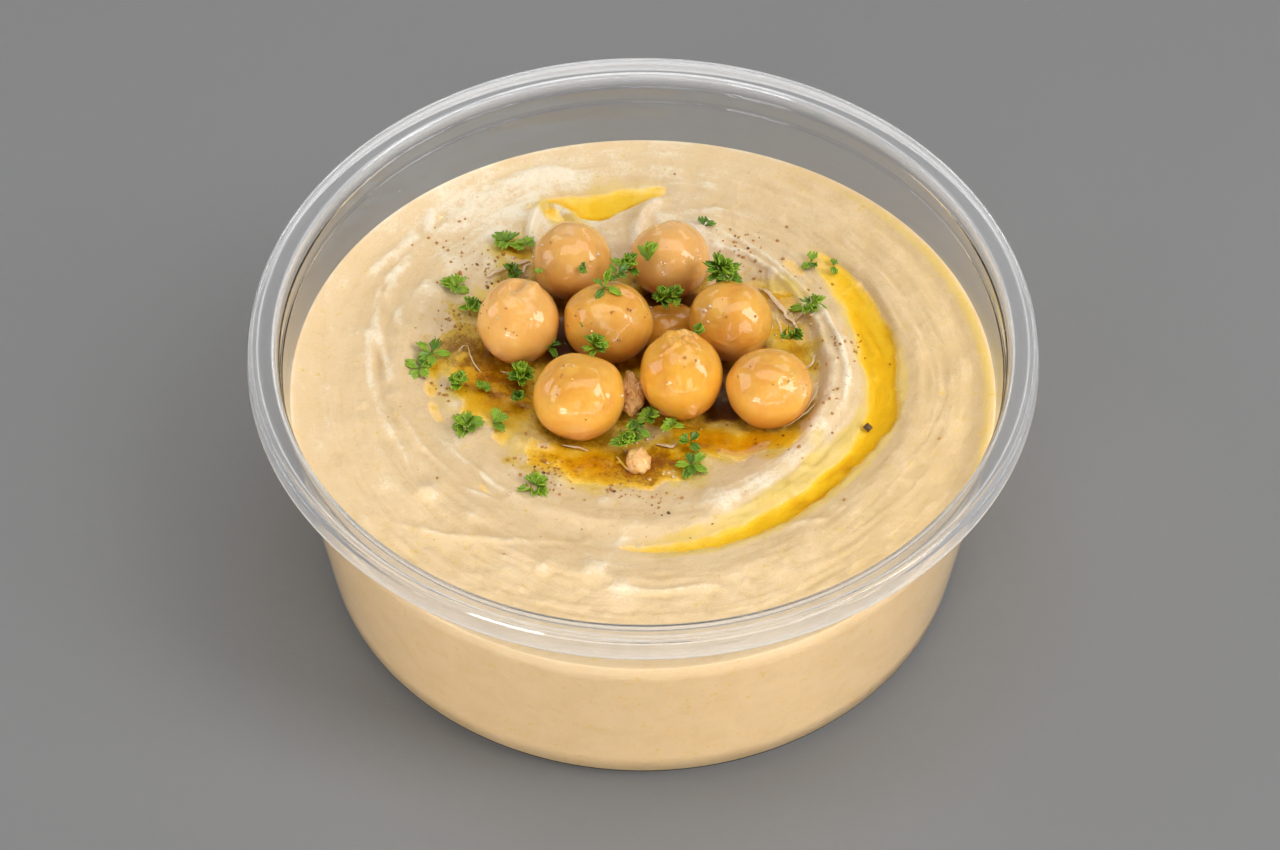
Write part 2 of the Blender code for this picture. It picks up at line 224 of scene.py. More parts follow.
# Lobes, dimples and folds of the chickpeas, seen from the front and above:
# place right and up on the pea's face, length, half-width and rise over its
# radius, and turn in degrees.
SKIN_FOLDS = {
    "chickpea_back_left": ((-0.15, 0.75, 0.35, 0.12, -0.035, 5), (0.2, 0.85, 0.4, 0.06, 0.02, -20),
                           (-0.5, 0.6, 0.4, 0.07, 0.018, 60), (0.3, -0.25, 0.22, 0.1, -0.03, 60),
                           (0.42, -0.1, 0.5, 0.04, 0.016, 75)),
    "chickpea_back_right": ((-0.25, -0.2, 0.2, 0.12, -0.03, -40), (0.0, 0.9, 0.35, 0.07, 0.03, 5),
                            (-0.3, 0.8, 0.3, 0.07, 0.02, 30), (0.3, 0.85, 0.3, 0.05, 0.015, -30),
                            (0.6, -0.1, 0.5, 0.05, 0.012, 80)),
    "chickpea_left": ((0.4, 0.8, 0.4, 0.22, 0.13, 0), (0.02, 0.86, 0.45, 0.11, -0.17, 75),
                      (-0.45, 0.75, 0.6, 0.3, 0.04, 30), (0.0, 0.5, 0.55, 0.05, 0.035, -50),
                      (0.42, 0.25, 0.6, 0.05, 0.03, 62), (0.3, -0.02, 0.5, 0.04, 0.025, 100),
                      (0.62, 0.1, 0.5, 0.05, 0.02, 75), (-0.55, -0.7, 0.3, 0.16, 0.06, 40),
                      (0.15, 0.2, 0.35, 0.04, 0.018, 20), (-0.7, 0.2, 0.5, 0.05, 0.014, 95)),
    "chickpea_centre": ((-0.85, 0.35, 0.3, 0.2, 0.05, 60), (0.5, 0.05, 0.35, 0.05, 0.03, 110),
                        (0.62, 0.28, 0.4, 0.05, 0.025, 30), (0.4, 0.22, 0.25, 0.04, 0.02, -30),
                        (0.2, -0.2, 0.3, 0.05, 0.02, -30), (-0.2, 0.05, 0.3, 0.08, 0.02, 10),
                        (0.5, 0.72, 0.5, 0.05, 0.02, -25)),
    "chickpea_right": ((-0.35, 0.0, 0.3, 0.08, 0.02, 0), (-0.85, 0.3, 0.35, 0.18, 0.04, 70),
                       (0.45, 0.35, 0.3, 0.06, 0.02, 80), (0.1, -0.45, 0.3, 0.05, 0.02, 40),
                       (0.2, 0.85, 0.3, 0.05, 0.02, -20), (-0.3, -0.55, 0.4, 0.04, 0.015, -20)),
    "chickpea_front_left": ((-0.72, 0.62, 0.35, 0.16, -0.07, 60), (-0.2, 0.95, 0.6, 0.25, 0.03, 5),
                            (0.05, 0.72, 0.5, 0.045, 0.014, -22), (0.42, 0.38, 0.45, 0.05, 0.03, 75),
                            (0.52, 0.0, 0.5, 0.05, 0.025, 100), (0.3, -0.2, 0.4, 0.04, 0.02, 120),
                            (-0.55, 0.25, 0.4, 0.05, 0.015, 50), (0.0, -0.78, 1.0, 0.05, 0.02, 5)),
    "chickpea_front_middle": ((-0.3, 0.88, 0.3, 0.1, 0.07, 30), (0.02, 0.93, 0.2, 0.1, 0.06, 0),
                              (0.3, 0.9, 0.3, 0.1, 0.07, -30), (-0.1, 0.72, 0.3, 0.06, 0.04, 60),
                              (0.15, 0.68, 0.3, 0.06, 0.04, -40), (-0.35, 0.55, 0.4, 0.05, 0.03, 20),
                              (0.45, 0.5, 0.4, 0.05, 0.025, 60), (-0.3, -0.2, 0.14, 0.13, 0.035, 0),
                              (-0.3, -0.2, 0.06, 0.05, -0.05, 0), (-0.78, -0.35, 0.5, 0.08, 0.04, 80),
                              (0.55, -0.1, 0.5, 0.05, 0.02, 80), (0.3, -0.8, 0.35, 0.14, 0.07, 30),
                              (-0.1, 0.2, 0.5, 0.04, 0.015, 80)),
    "chickpea_front_right": ((0.55, 0.3, 0.6, 0.05, 0.045, 40), (0.68, 0.05, 0.4, 0.05, 0.04, 20),
                             (0.55, -0.15, 0.35, 0.05, 0.03, -20), (0.8, -0.2, 0.4, 0.06, 0.05, 80),
                             (0.3, 0.15, 0.2, 0.09, -0.04, 30), (-0.15, 0.65, 0.4, 0.06, 0.02, 15),
                             (-0.75, 0.4, 0.5, 0.2, 0.03, 60), (0.05, -0.1, 0.25, 0.09, 0.018, 0)),
    "chickpea_sunk": ((0.0, 0.2, 0.5, 0.08, 0.03, 20), (0.2, -0.2, 0.5, 0.06, 0.02, -30)),
}
# Ruffled skin: place right and up on the pea's face, half-width and rise over
# its radius.
RUFFLES = {
    "chickpea_front_middle": ((-0.05, 0.9, 0.36, 0.07), (0.28, -0.85, 0.16, 0.07)),
    "chickpea_front_right": ((0.78, 0.05, 0.25, 0.05),),
    "chickpea_back_left": ((0.15, 0.88, 0.25, 0.025),),
    "chickpea_back_right": ((0.05, 0.92, 0.22, 0.025),),
    "chickpea_left": ((0.35, 0.2, 0.3, 0.015), (-0.5, -0.75, 0.2, 0.05)),
    "chickpea_centre": ((0.5, 0.15, 0.2, 0.03),),
    "chickpea_right": ((0.1, 0.9, 0.3, 0.015),),
    "chickpea_front_left": ((0.05, -0.88, 0.3, 0.02),),
}
# How pale and pinkish each chickpea is, from 0 to 1.
PALENESS = {
    "chickpea_back_left": 0.6, "chickpea_back_right": 0.75, "chickpea_left": 0.65,
    "chickpea_centre": 0.3, "chickpea_right": 0.3, "chickpea_front_left": 0.25,
    "chickpea_front_middle": 0.0, "chickpea_front_right": 0.35, "chickpea_sunk": 0.15,
}
# Pale tips and creases: right, up, half-width and how pale.
PALE_SPOTS = {
    "chickpea_left": ((-0.55, -0.75, 0.25, 1.0), (0.05, 0.75, 0.25, 0.5)),
    "chickpea_front_middle": ((0.3, -0.85, 0.18, 1.0), (0.15, 0.9, 0.3, 0.5), (-0.3, -0.2, 0.12, 0.4)),
    "chickpea_front_right": ((0.75, 0.0, 0.25, 0.7), (0.05, -0.1, 0.15, 0.5)),
    "chickpea_back_left": ((0.35, -0.35, 0.2, 0.7), (-0.1, 0.8, 0.25, 0.6)),
    "chickpea_back_right": ((0.0, 0.9, 0.3, 0.6), (-0.2, -0.3, 0.15, 0.6)),
    "chickpea_centre": ((-0.15, 0.05, 0.2, 0.5), (0.5, 0.1, 0.2, 0.5)),
    "chickpea_front_left": ((0.0, -0.85, 0.35, 0.6), (-0.7, 0.6, 0.15, 0.4)),
    "chickpea_right": ((-0.1, -0.75, 0.3, 0.4),),
}

# Parsley bits: place, leaflets, leaflet length, leaflet width, spread in
# degrees, turn in degrees and how steeply the leaflets rise in degrees.
PARSLEY = (
    (-21.3, 30.4, 30.9, 6, 2.1, 0.95, 330, 60, 20),
    (-18.2, 29.6, 31.2, 4, 1.5, 0.95, 320, 20, 35),
    (-20.0, 23.7, 30.6, 5, 1.8, 0.75, 330, 80, 35),
    (-28.7, 21.2, 30.6, 6, 2.0, 0.95, 340, 10, 25),
    (-26.0, 16.6, 30.5, 6, 1.9, 0.70, 300, 40, 35),
    (-33.5, 12.6, 30.8, 1, 1.9, 1.05, 0, 170, 8),
    (-33.6, 4.3, 30.8, 5, 2.2, 0.85, 300, 235, 10),
    (-32.0, 7.2, 30.8, 5, 2.2, 0.80, 300, 70, 15),
    (-27.6, 1.4, 30.4, 7, 1.8, 0.95, 345, 0, 45),
    (-24.1, 0.6, 30.4, 5, 1.0, 0.9, 340, 0, 55),
    (-18.2, 2.8, 30.6, 7, 2.2, 0.75, 330, 15, 30),
    (-14.2, 7.6, 32.2, 6, 2.0, 0.65, 320, 30, 35),
    (-18.5, -1.8, 30.6, 5, 1.2, 0.9, 340, 0, 45),
    (-26.3, -6.8, 30.4, 7, 2.1, 1.0, 345, 190, 18),
    (-22.3, -6.1, 30.4, 3, 1.9, 0.85, 120, 10, 15),
    (-15.6, -18.5, 30.3, 7, 2.3, 0.85, 330, 100, 14),
    (-5.8, 12.5, 40.0, 4, 2.3, 0.60, 260, 200, 25),
    (-4.0, 14.8, 39.9, 5, 2.1, 0.60, 320, 40, 40),
    (-2.4, 18.0, 38.2, 8, 2.3, 0.65, 340, 20, 45),
    (0.6, 19.3, 38.6, 3, 2.7, 0.75, 70, 75, 35),
    (3.0, 15.2, 34.4, 9, 2.0, 0.60, 345, 0, 45),
    (5.2, 15.4, 34.6, 6, 1.8, 0.60, 330, 60, 55),
    (-7.7, 6.6, 38.2, 1, 1.5, 0.95, 0, 85, 0),
    (-9.2, 6.8, 37.3, 1, 0.9, 0.7, 0, 60, 0),
    (-7.1, 2.6, 37.4, 9, 2.2, 0.50, 300, 110, 30),
    (9.4, 33.4, 31.6, 2, 1.6, 0.9, 90, 60, 25),
    (12.0, 17.4, 38.0, 9, 2.6, 0.70, 345, 30, 38),
    (13.0, 15.6, 38.9, 5, 1.7, 0.80, 330, 250, 25),
    (25.8, 26.2, 31.2, 3, 1.5, 0.85, 300, 80, 20),
    (29.3, 25.4, 31.2, 2, 1.3, 0.75, 175, 0, 10),
    (25.6, 16.8, 31.4, 7, 2.4, 0.72, 300, 30, 18),
    (22.4, 9.6, 32.0, 4, 2.3, 0.65, 120, 285, 40),
    (0.9, -6.2, 31.8, 6, 1.7, 0.80, 330, 15, 35),
    (-2.3, -10.6, 31.0, 7, 2.0, 0.85, 340, 0, 40),
    (-1.1, -8.6, 31.6, 5, 1.8, 0.75, 320, 60, 45),
    (4.2, -7.6, 31.2, 4, 1.8, 0.80, 250, 110, 35),
    (7.0, -10.0, 30.8, 4, 1.7, 0.90, 330, 0, 20),
    (7.2, -14.4, 30.6, 6, 2.0, 0.80, 330, 75, 12),
    (-8.7, 18.7, 37.7, 2, 0.9, 0.80, 70, 200, 10),
    (-15.6, 19.9, 36.4, 1, 0.9, 0.80, 0, 250, 0),
    (8.2, 4.6, 39.0, 4, 0.9, 0.80, 300, 60, 60),
)

# Spice: middle of each sprinkle, its spread and how many flecks fall there.
SPRINKLES = (
    (-27.0, 14.0, 4.5, 80),
    (-29.5, 1.0, 3.5, 26),
    (-24.0, 24.0, 6.0, 60),
    (-14.0, -15.5, 4.5, 80),
    (-3.0, -18.0, 4.0, 40),
    (-22.0, 3.0, 5.0, 40),
    (3.0, -22.0, 4.0, 14),
    (16.0, 30.0, 5.5, 40),
    (30.0, 9.0, 4.5, 34),
    (27.0, -3.0, 5.0, 18),
    (20.0, -10.0, 4.0, 12),
    (-30.0, 30.0, 6.0, 18),
    (-3.0, 2.0, 28.0, 120),
    (0.0, 0.0, 40.0, 40),
)
SPRINKLE_REACH = 47.0
RED_SHARE = 0.93
# One larger black speck on the ribbon of oil: place and size.
PEPPER_PLACE = (33.5, -7.0)
PEPPER_SIZE = 1.3

# Oil: how far its sheets sink into the hummus, how low it lies when dry, the
# height of its surface round the chickpeas, the spacing of its points, and how
# strongly a metre of it colours light.
OIL_SINK = 0.14
DRY = -0.36
OIL_LEVEL = 29.6
OIL_STEP = 0.34
RIBBON_DENSITY = 2100.0
POOL_DENSITY = 2500.0

# Pools of oil in the hollow: place, half-widths and how deep each one stands.
POOLS = (
    (-24.5, 4.5, 6.5, 7.5, 0.75),
    (-20.0, -2.5, 7.5, 5.0, 0.65),
    (-14.5, -11.5, 5.5, 3.5, 0.36),
    (-7.0, -13.8, 7.0, 3.6, 0.95),
    (2.5, -13.0, 6.5, 4.2, 0.8),
    (10.5, -8.8, 6.0, 2.6, 1.1),
    (18.5, -9.6, 5.5, 1.9, 0.9),
    (22.0, 8.0, 3.0, 7.0, 0.7),
    (18.5, 19.0, 5.5, 3.0, 0.75),
    (-19.5, 28.0, 3.5, 2.5, 0.8),
    (-21.5, 18.0, 4.0, 4.5, 0.6),
    (-3.5, 18.0, 9.0, 7.0, 0.8),
    (0.0, 3.0, 14.0, 8.0, 0.9),
    (-13.0, 37.0, 2.2, 1.5, 0.7),
)

# Where spice has stained the hummus: place, half-width and how strongly.
STAINS = (
    (-26.5, 8.5, 3.0, 1.0),
    (-28.8, 16.5, 1.8, 0.6),
    (-29.3, 9.2, 2.2, 1.0),
    (-27.5, 13.5, 2.0, 0.5),
    (-23.5, 5.5, 3.6, 1.1),
    (-21.0, 1.5, 3.4, 0.8),
    (-18.0, 1.5, 3.2, 0.9),
    (-20.0, -3.0, 2.6, 0.6),
    (-22.5, 19.5, 2.6, 0.5),
    (-20.5, 23.5, 2.2, 0.6),
    (-20.0, 27.5, 2.0, 0.5),
    (-16.5, -13.2, 1.8, 0.8),
    (-13.5, -13.2, 1.5, 0.7),
    (-20.8, -12.6, 1.2, 0.5),
    (-13.0, -8.5, 2.5, 0.6),
    (-6.0, -13.5, 4.5, 0.75),
    (-11.0, -13.0, 2.5, 0.5),
    (1.5, -13.0, 4.0, 1.0),
    (5.5, -12.0, 3.4, 0.6),
    (1.5, -17.0, 1.6, 0.6),
    (-2.0, -16.5, 1.8, 0.5),
    (11.0, -9.0, 3.5, 0.35),
    (19.0, 17.5, 2.4, 0.45),
    (22.0, 8.0, 2.0, 0.5),
    (16.5, 24.5, 1.8, 0.35),
    (-16.5, 30.0, 1.6, 0.6),
)

# Shreds of skin: width, how high the middle arches, and path.
SKINS = (
    (0.75, 0.3, ((-24.1, 23.5), (-23.1, 24.1), (-21.2, 25.0), (-20.6, 25.6))),
    (0.9, 0.3, ((-20.0, 25.4), (-18.8, 26.2), (-17.4, 26.6))),
    (0.6, 0.4, ((-17.6, 26.2), (-18.2, 25.2), (-18.9, 23.2))),
    (0.3, 0.5, ((-26.6, 9.3), (-26.2, 7.6), (-25.6, 5.8), (-24.4, 4.2))),
    (0.25, 0.3, ((-27.9, 8.1), (-27.2, 8.9), (-26.6, 9.3))),
    (0.35, 0.3, ((-21.5, 4.7), (-20.2, 4.2), (-18.6, 4.5))),
    (1.0, 0.4, ((17.9, 21.6), (19.5, 19.7), (20.7, 17.3), (22.0, 15.4), (23.0, 14.2), (23.7, 12.6))),
    (0.45, 0.5, ((20.0, 16.2), (20.8, 14.2), (21.3, 11.2))),
    (0.45, 0.3, ((22.8, 14.5), (24.1, 15.2), (25.4, 16.4))),
    (0.5, 0.5, ((24.3, 4.4), (25.4, 5.5), (26.0, 7.2))),
    (0.35, 0.4, ((21.0, -6.9), (23.0, -5.9), (24.6, -4.5), (25.7, -3.2))),
    (0.35, 0.3, ((23.5, -5.0), (25.4, -2.0), (26.4, 0.6))),
    (0.5, 0.3, ((-11.9, -10.0), (-10.2, -10.6), (-8.0, -10.7))),
    (0.4, 0.3, ((-1.6, 27.5), (-2.4, 26.0), (-3.4, 25.2))),
    (0.35, 0.3, ((-4.6, 26.8), (-3.4, 27.4), (-2.2, 28.8))),
    (0.6, 0.3, ((-3.9, -12.0), (-2.8, -13.6), (-1.2, -15.4))),
    (0.7, 0.2, ((2.0, -9.6), (4.2, -10.4), (5.2, -9.4))),
)

# Crumbs: middle of each group, its spread and how many.
CRUMBS = (
    (5.8, 4.4, 4.0, 12),
    (9.0, 9.0, 2.5, 4),
    (-1.5, -8.0, 4.0, 10),
    (3.0, -15.5, 3.0, 6),
    (-19.0, 24.0, 4.0, 8),
    (22.0, 13.0, 4.0, 7),
    (8.2, -6.6, 1.2, 3),
    (0.0, 5.0, 26.0, 14),
)
BEAD_COUNT = 14

# Seeds of the scattered pieces.
PARSLEY_SEED, SPICE_SEED, CRUMB_SEED = 11, 23, 5

# Lamps: direction and height in degrees, distance, width and height in metres,
# and power in watts.
LAMPS = {
    "window_right": (-16, 36, 1.7, 0.7, 1.2, 17.0),
    "window_front_right": (-46, 16, 1.6, 0.4, 0.6, 2.2),
    "window_front": (-94, 31, 1.6, 0.4, 0.6, 1.2),
    "window_front_left": (-122, 8, 1.6, 0.5, 0.45, 6.5),
    "window_left": (176, 22, 1.8, 0.8, 0.9, 5.5),
    "front_wall": (-92, 4, 1.9, 3.2, 0.28, 11.0),
    "ceiling": (90, 84, 2.0, 2.6, 1.1, 17.0),
    "back_right": (58, 34, 1.8, 0.8, 0.5, 2.2),
    "back_left": (122, 34, 1.8, 0.8, 0.5, 2.0),
}
STUDIO_TONE = (0.97, 0.985, 1.0, 1.0)
STUDIO_STRENGTH = 0.2
FLOOR_HALF = 6.0
CAMERA_PLACE = (-0.4, -395.6, 481.4)
CAMERA_ROLL = math.radians(0.28)


# ---------------------------------------------------------------- settings


def length(name, description, default, low, high):
    """A length in metres that a user may change."""
    return FloatProperty(
        name=name, description=description, default=default * MM, min=low * MM,
        max=high * MM, unit="LENGTH", subtype="DISTANCE", precision=5,
    )


def color(name, description, default):
    """A colour, linear RGB, that a user may change."""
    return FloatVectorProperty(
        name=name, description=description, default=default, size=3, min=0.0, max=1.0,
        subtype="COLOR",
    )


class TubSettings(bpy.types.PropertyGroup):
    wall: length("Wall", "Thickness of the clear plastic", TUB_WALL, 0.3, 0.6)
    corner: length("Corner", "Largest rounding of the moulded corners", 0.32, 0.1, 0.4)
    tint: color("Tint", "Colour of the clear plastic", (0.955, 0.957, 0.96))
    # Also scales the painted highlight lines along the rim's edges.
    cloud: FloatProperty(
        name="Cloud", description="How cloudy the plastic of the rim is", default=0.11, min=0.0,
        max=1.0, subtype="FACTOR",
    )


class DipSettings(bpy.types.PropertyGroup):
    comb: length("Comb", "Height of the fine lines that the spoon left", 0.22, 0.0, 0.5)
    lumps: length("Lumps", "Height of the soft lumps", 0.34, 0.0, 0.8)
    body: color("Body", "Colour of the hummus", (0.74, 0.545, 0.31))
    # Pale ridge colour, also used as painted light on ridges and lit slopes.
    ridge_and_light: color("Ridges", "Colour where the hummus is thin or raised", (0.86, 0.755, 0.57))
    # Valley colour, also used as painted shade in hollows.
    valley_and_shade: color("Valleys", "Colour where the hummus is pressed", (0.66, 0.465, 0.23))
    oily: color("Oily", "Colour of hummus that has taken up oil", (0.74, 0.525, 0.13))
    amber: color("Amber", "Colour of hummus lightly stained by spice", (0.66, 0.43, 0.06))
    # Spice stain colour, also painted into the thin shadow ring round each chickpea.
    stain_and_shade: color("Stain", "Colour of hummus stained by spice", (0.33, 0.15, 0.012))
    # Painted shade deep between the chickpeas, where oil gathers.
    nook_shade: color("Nooks", "Colour deep between the chickpeas", (0.125, 0.04, 0.006))


class ChickpeaSettings(bpy.types.PropertyGroup):
    wrinkle: length("Wrinkle", "Height of the fine wrinkles of the skin", 0.018, 0.0, 0.2)
    light: color("Light", "Lighter colour of the chickpeas", (0.84, 0.44, 0.048))
    dark: color("Dark", "Darker colour of the chickpeas", (0.75, 0.31, 0.02))
    pale: color("Pale", "Colour of the palest skin", (0.85, 0.485, 0.175))
    # Painted shade on the chickpeas' undersides, warm like the oil.
    deep: color("Deep", "Colour of the oily underside", (0.42, 0.115, 0.004))


class OilSettings(bpy.types.PropertyGroup):
    fill: FloatProperty(
        name="Fill", description="How full of oil the spoon's groove is", default=0.7, min=0.1,
        max=0.95, subtype="FACTOR",
    )
    tint: color("Tint", "Colour that the oil lets through", (0.97, 0.92, 0.02))
    pool: color("Pool", "Colour that the oil in the hollow lets through", (0.95, 0.865, 0.03))


class HerbSettings(bpy.types.PropertyGroup):
    leaf: length("Leaf", "Thickness of a parsley leaf", 0.16, 0.05, 0.3)
    size: FloatProperty(
        name="Size", description="Size of the parsley bits against the usual", default=1.3,
        min=0.5, max=2.0,
    )
    # Lighter leaf colour, used for random tone and the painted highlight at the tips.
    light: color("Light", "Colour of the younger leaves", (0.27, 0.42, 0.02))
    dark: color("Dark", "Colour of the darker leaves", (0.05, 0.14, 0.005))


class SpiceSettings(bpy.types.PropertyGroup):
    fleck: length("Fleck", "Size of the largest flecks", 0.58, 0.1, 1.0)
    red: color("Red", "Colour of the red flecks", (0.62, 0.27, 0.04))
    brown: color("Brown", "Colour of the brown specks", (0.17, 0.075, 0.02))


class BitSettings(bpy.types.PropertyGroup):
    crumb: length("Crumb", "Size of the largest crumbs", 0.75, 0.1, 2.0)
    bead: length("Bead", "Size of the largest beads of oil", 0.42, 0.1, 1.5)
    skin: color("Skin", "Colour of the skins and crumbs", (0.82, 0.58, 0.34))


class StageSettings(bpy.types.PropertyGroup):
    floor: color("Floor", "Colour of the floor", (0.229, 0.229, 0.229))
    lens: FloatProperty(
        name="Lens", description="Focal length of the camera in millimetres",
        default=112.5, min=20.0, max=300.0, unit="CAMERA",
    )


# ---------------------------------------------------------------- making


def add_piece(name, points, faces, material, slot, replaces=None):
    """Make a smooth mesh from points in millimetres and ride it on the tub."""
    mesh = bpy.data.meshes.new(name)
    mesh.from_pydata((np.asarray(points, float) * MM).tolist(), [], faces)
    mesh.validate()
    mesh.shade_smooth()
    mesh.materials.append(material)
    piece = bpy.data.objects.new(name, mesh)
    bpy.context.scene.collection.objects.link(piece)
    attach(piece, "root")
    if replaces:
        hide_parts(replaces)
    return piece


def join(kind, points, faces):
    """Add points and faces to those already gathered."""
    start = len(kind[0])
    kind[0] += [tuple(p) for p in points]
    kind[1] += [tuple(n + start for n in face) for face in faces]


def set_layer(piece, name, values):
    """Keep one number for each point of a piece, for its material."""
    layer = piece.data.attributes.new(name, "FLOAT", "POINT")
    layer.data.foreach_set("value", np.asarray(values, np.float32))


def grid_faces(rows, columns, closed=False):
    """Quads of a grid of points; closed joins each row's ends."""
    faces = []
    for row in range(rows - 1):
        for column in range(columns if closed else columns - 1):
            after = (column + 1) % columns
            faces.append((row * columns + column, row * columns + after,
                          (row + 1) * columns + after, (row + 1) * columns + column))
    return faces


def bump(distance, half_width):
    """Smooth hump: 1 at the middle, falling to nothing over two half-widths."""
    return np.exp(-((distance / half_width) ** 2))


def swing(a, b):
    """Smallest turn between two directions, in radians."""
    return np.abs((a - b + math.pi) % math.tau - math.pi)


def smooth(low, high, value):
    """Rises smoothly from 0 to 1 as the value goes from low to high."""
    part = np.clip((value - low) / (high - low), 0.0, 1.0)
    return part * part * (3.0 - 2.0 * part)


def waver(x, y, z=0.0):
    """Soft noise from -1 to 1 at each point."""
    x, y, z = np.broadcast_arrays(x, y, z)
    flat = zip(x.ravel().tolist(), y.ravel().tolist(), z.ravel().tolist())
    return np.array([noise.noise(place) for place in flat]).reshape(x.shape)


# ---------------------------------------------------------------- materials


class Finish:
    """A material under construction, with short names for its nodes."""

    def __init__(self, name):
        self.material = bpy.data.materials.new(name)
        self.material.use_nodes = True
        self.tree = self.material.node_tree
        self.shader = self.tree.nodes["Principled BSDF"]
        self.output = self.tree.nodes["Material Output"]
        self.place = self.node("ShaderNodeTexCoord").outputs["Object"]

    def node(self, kind, inputs=None, **settings):
        """Add a node; inputs are values or sockets by name or number."""
        node = self.tree.nodes.new(kind)
        for key, value in settings.items():
            setattr(node, key, value)
        for key, value in (inputs or {}).items():
            self.feed(node.inputs[key], value)
        return node

    def feed(self, socket, value):
        """Give a socket a plain value or a link."""
        if isinstance(value, bpy.types.NodeSocket):
            self.tree.links.new(value, socket)
        elif hasattr(value, "__len__") and len(value) == 3 and socket.type == "RGBA":
            socket.default_value = (*value, 1.0)
        else:
            socket.default_value = value

    def set(self, **inputs):
        """Set the Principled shader's sockets, spaces written as underscores."""
        for key, value in inputs.items():
            self.feed(self.shader.inputs[key.replace("_", " ")], value)

    def stretch(self, scale, turn=(0.0, 0.0, 0.0)):
        """Object coordinates scaled differently along each axis."""
        return self.node("ShaderNodeMapping", {"Vector": self.place, "Scale": scale,
                                               "Rotation": turn}).outputs[0]

    def grain(self, size, detail=3.0, rough=0.5, vector=None, warp=0.0):
        """Noise whose grains are about size millimetres across."""
        return self.node("ShaderNodeTexNoise", {
            "Vector": vector or self.place, "Scale": 1.0 / (size * MM), "Detail": detail,
            "Roughness": rough, "Distortion": warp}).outputs["Fac"]

    def specks(self, spacing, size, vector=None):
        """1 inside small dots about size across, one in each cell of spacing."""
        cells = self.node("ShaderNodeTexVoronoi", {
            "Vector": vector or self.place, "Scale": 1.0 / (spacing * MM)})
        return self.span(cells.outputs["Distance"], size / spacing, 0.6 * size / spacing)

    def span(self, value, low, high, to_low=0.0, to_high=1.0):
        """Carry a value from one span to another, held at the ends."""
        return self.node("ShaderNodeMapRange", {
            "Value": value, "From Min": low, "From Max": high, "To Min": to_low,
            "To Max": to_high}, interpolation_type="SMOOTHSTEP").outputs[0]

    def sum(self, operation, a, b, c=None):
        """One sum on two or three numbers."""
        values = {0: a, 1: b}
        if c is not None:
            values[2] = c
        return self.node("ShaderNodeMath", values, operation=operation).outputs[0]

    def vary(self, base, grain, amount):
        """A value with a grain added as much above it as below."""
        return self.sum("MULTIPLY_ADD", self.sum("SUBTRACT", grain, 0.5), amount, base)

    def blend(self, part, a, b):
        """Mix two colours."""
        mix = self.node("ShaderNodeMix", {"Factor": part}, data_type="RGBA")
        self.feed(mix.inputs[6], a)
        self.feed(mix.inputs[7], b)
        return mix.outputs[2]

    def layer(self, name):
        """A number kept on the mesh's points."""
        return self.node("ShaderNodeAttribute", attribute_name=name).outputs["Fac"]

    def relief(self, height, depth, under=None, strength=1.0):
        """Bump of a height from 0 to 1 that stands depth millimetres."""
        inputs = {"Height": height, "Distance": depth * MM, "Strength": strength}
        if under:
            inputs["Normal"] = under
        return self.node("ShaderNodeBump", inputs).outputs[0]

    def let_light_through(self, tint):
        """Shadows fall through the clear stuff, a little tinted."""
        through = self.node("ShaderNodeBsdfTransparent", {"Color": tint}).outputs[0]
        ray = self.node("ShaderNodeLightPath").outputs["Is Shadow Ray"]
        mix = self.node("ShaderNodeMixShader", {0: ray, 1: self.shader.outputs[0], 2: through})
        self.tree.links.new(mix.outputs[0], self.output.inputs["Surface"])


def clear_plastic_finish(tint):
    """Clear moulded plastic with faint draw lines, a little cloudy at the rim, with painted highlight lines
    along its edges.
    """
    finish = Finish("clear_plastic_finish")
    cloud_and_highlight = finish.sum("SUBTRACT", 1.0, finish.layer("cloud_and_highlight"))
    lines = finish.grain(3.0, 4.0, 0.6, finish.stretch((0.15, 0.15, 1.0)))
    haze = finish.grain(9.0, 3.0)
    finish.set(
        Base_Color=tint, Roughness=finish.span(haze, 0.3, 0.7, 0.015, 0.05),
        Transmission_Weight=cloud_and_highlight, IOR=1.49, Normal=finish.relief(lines, 0.02),
    )
    finish.let_light_through((0.96, 0.96, 0.96))
    return finish.material


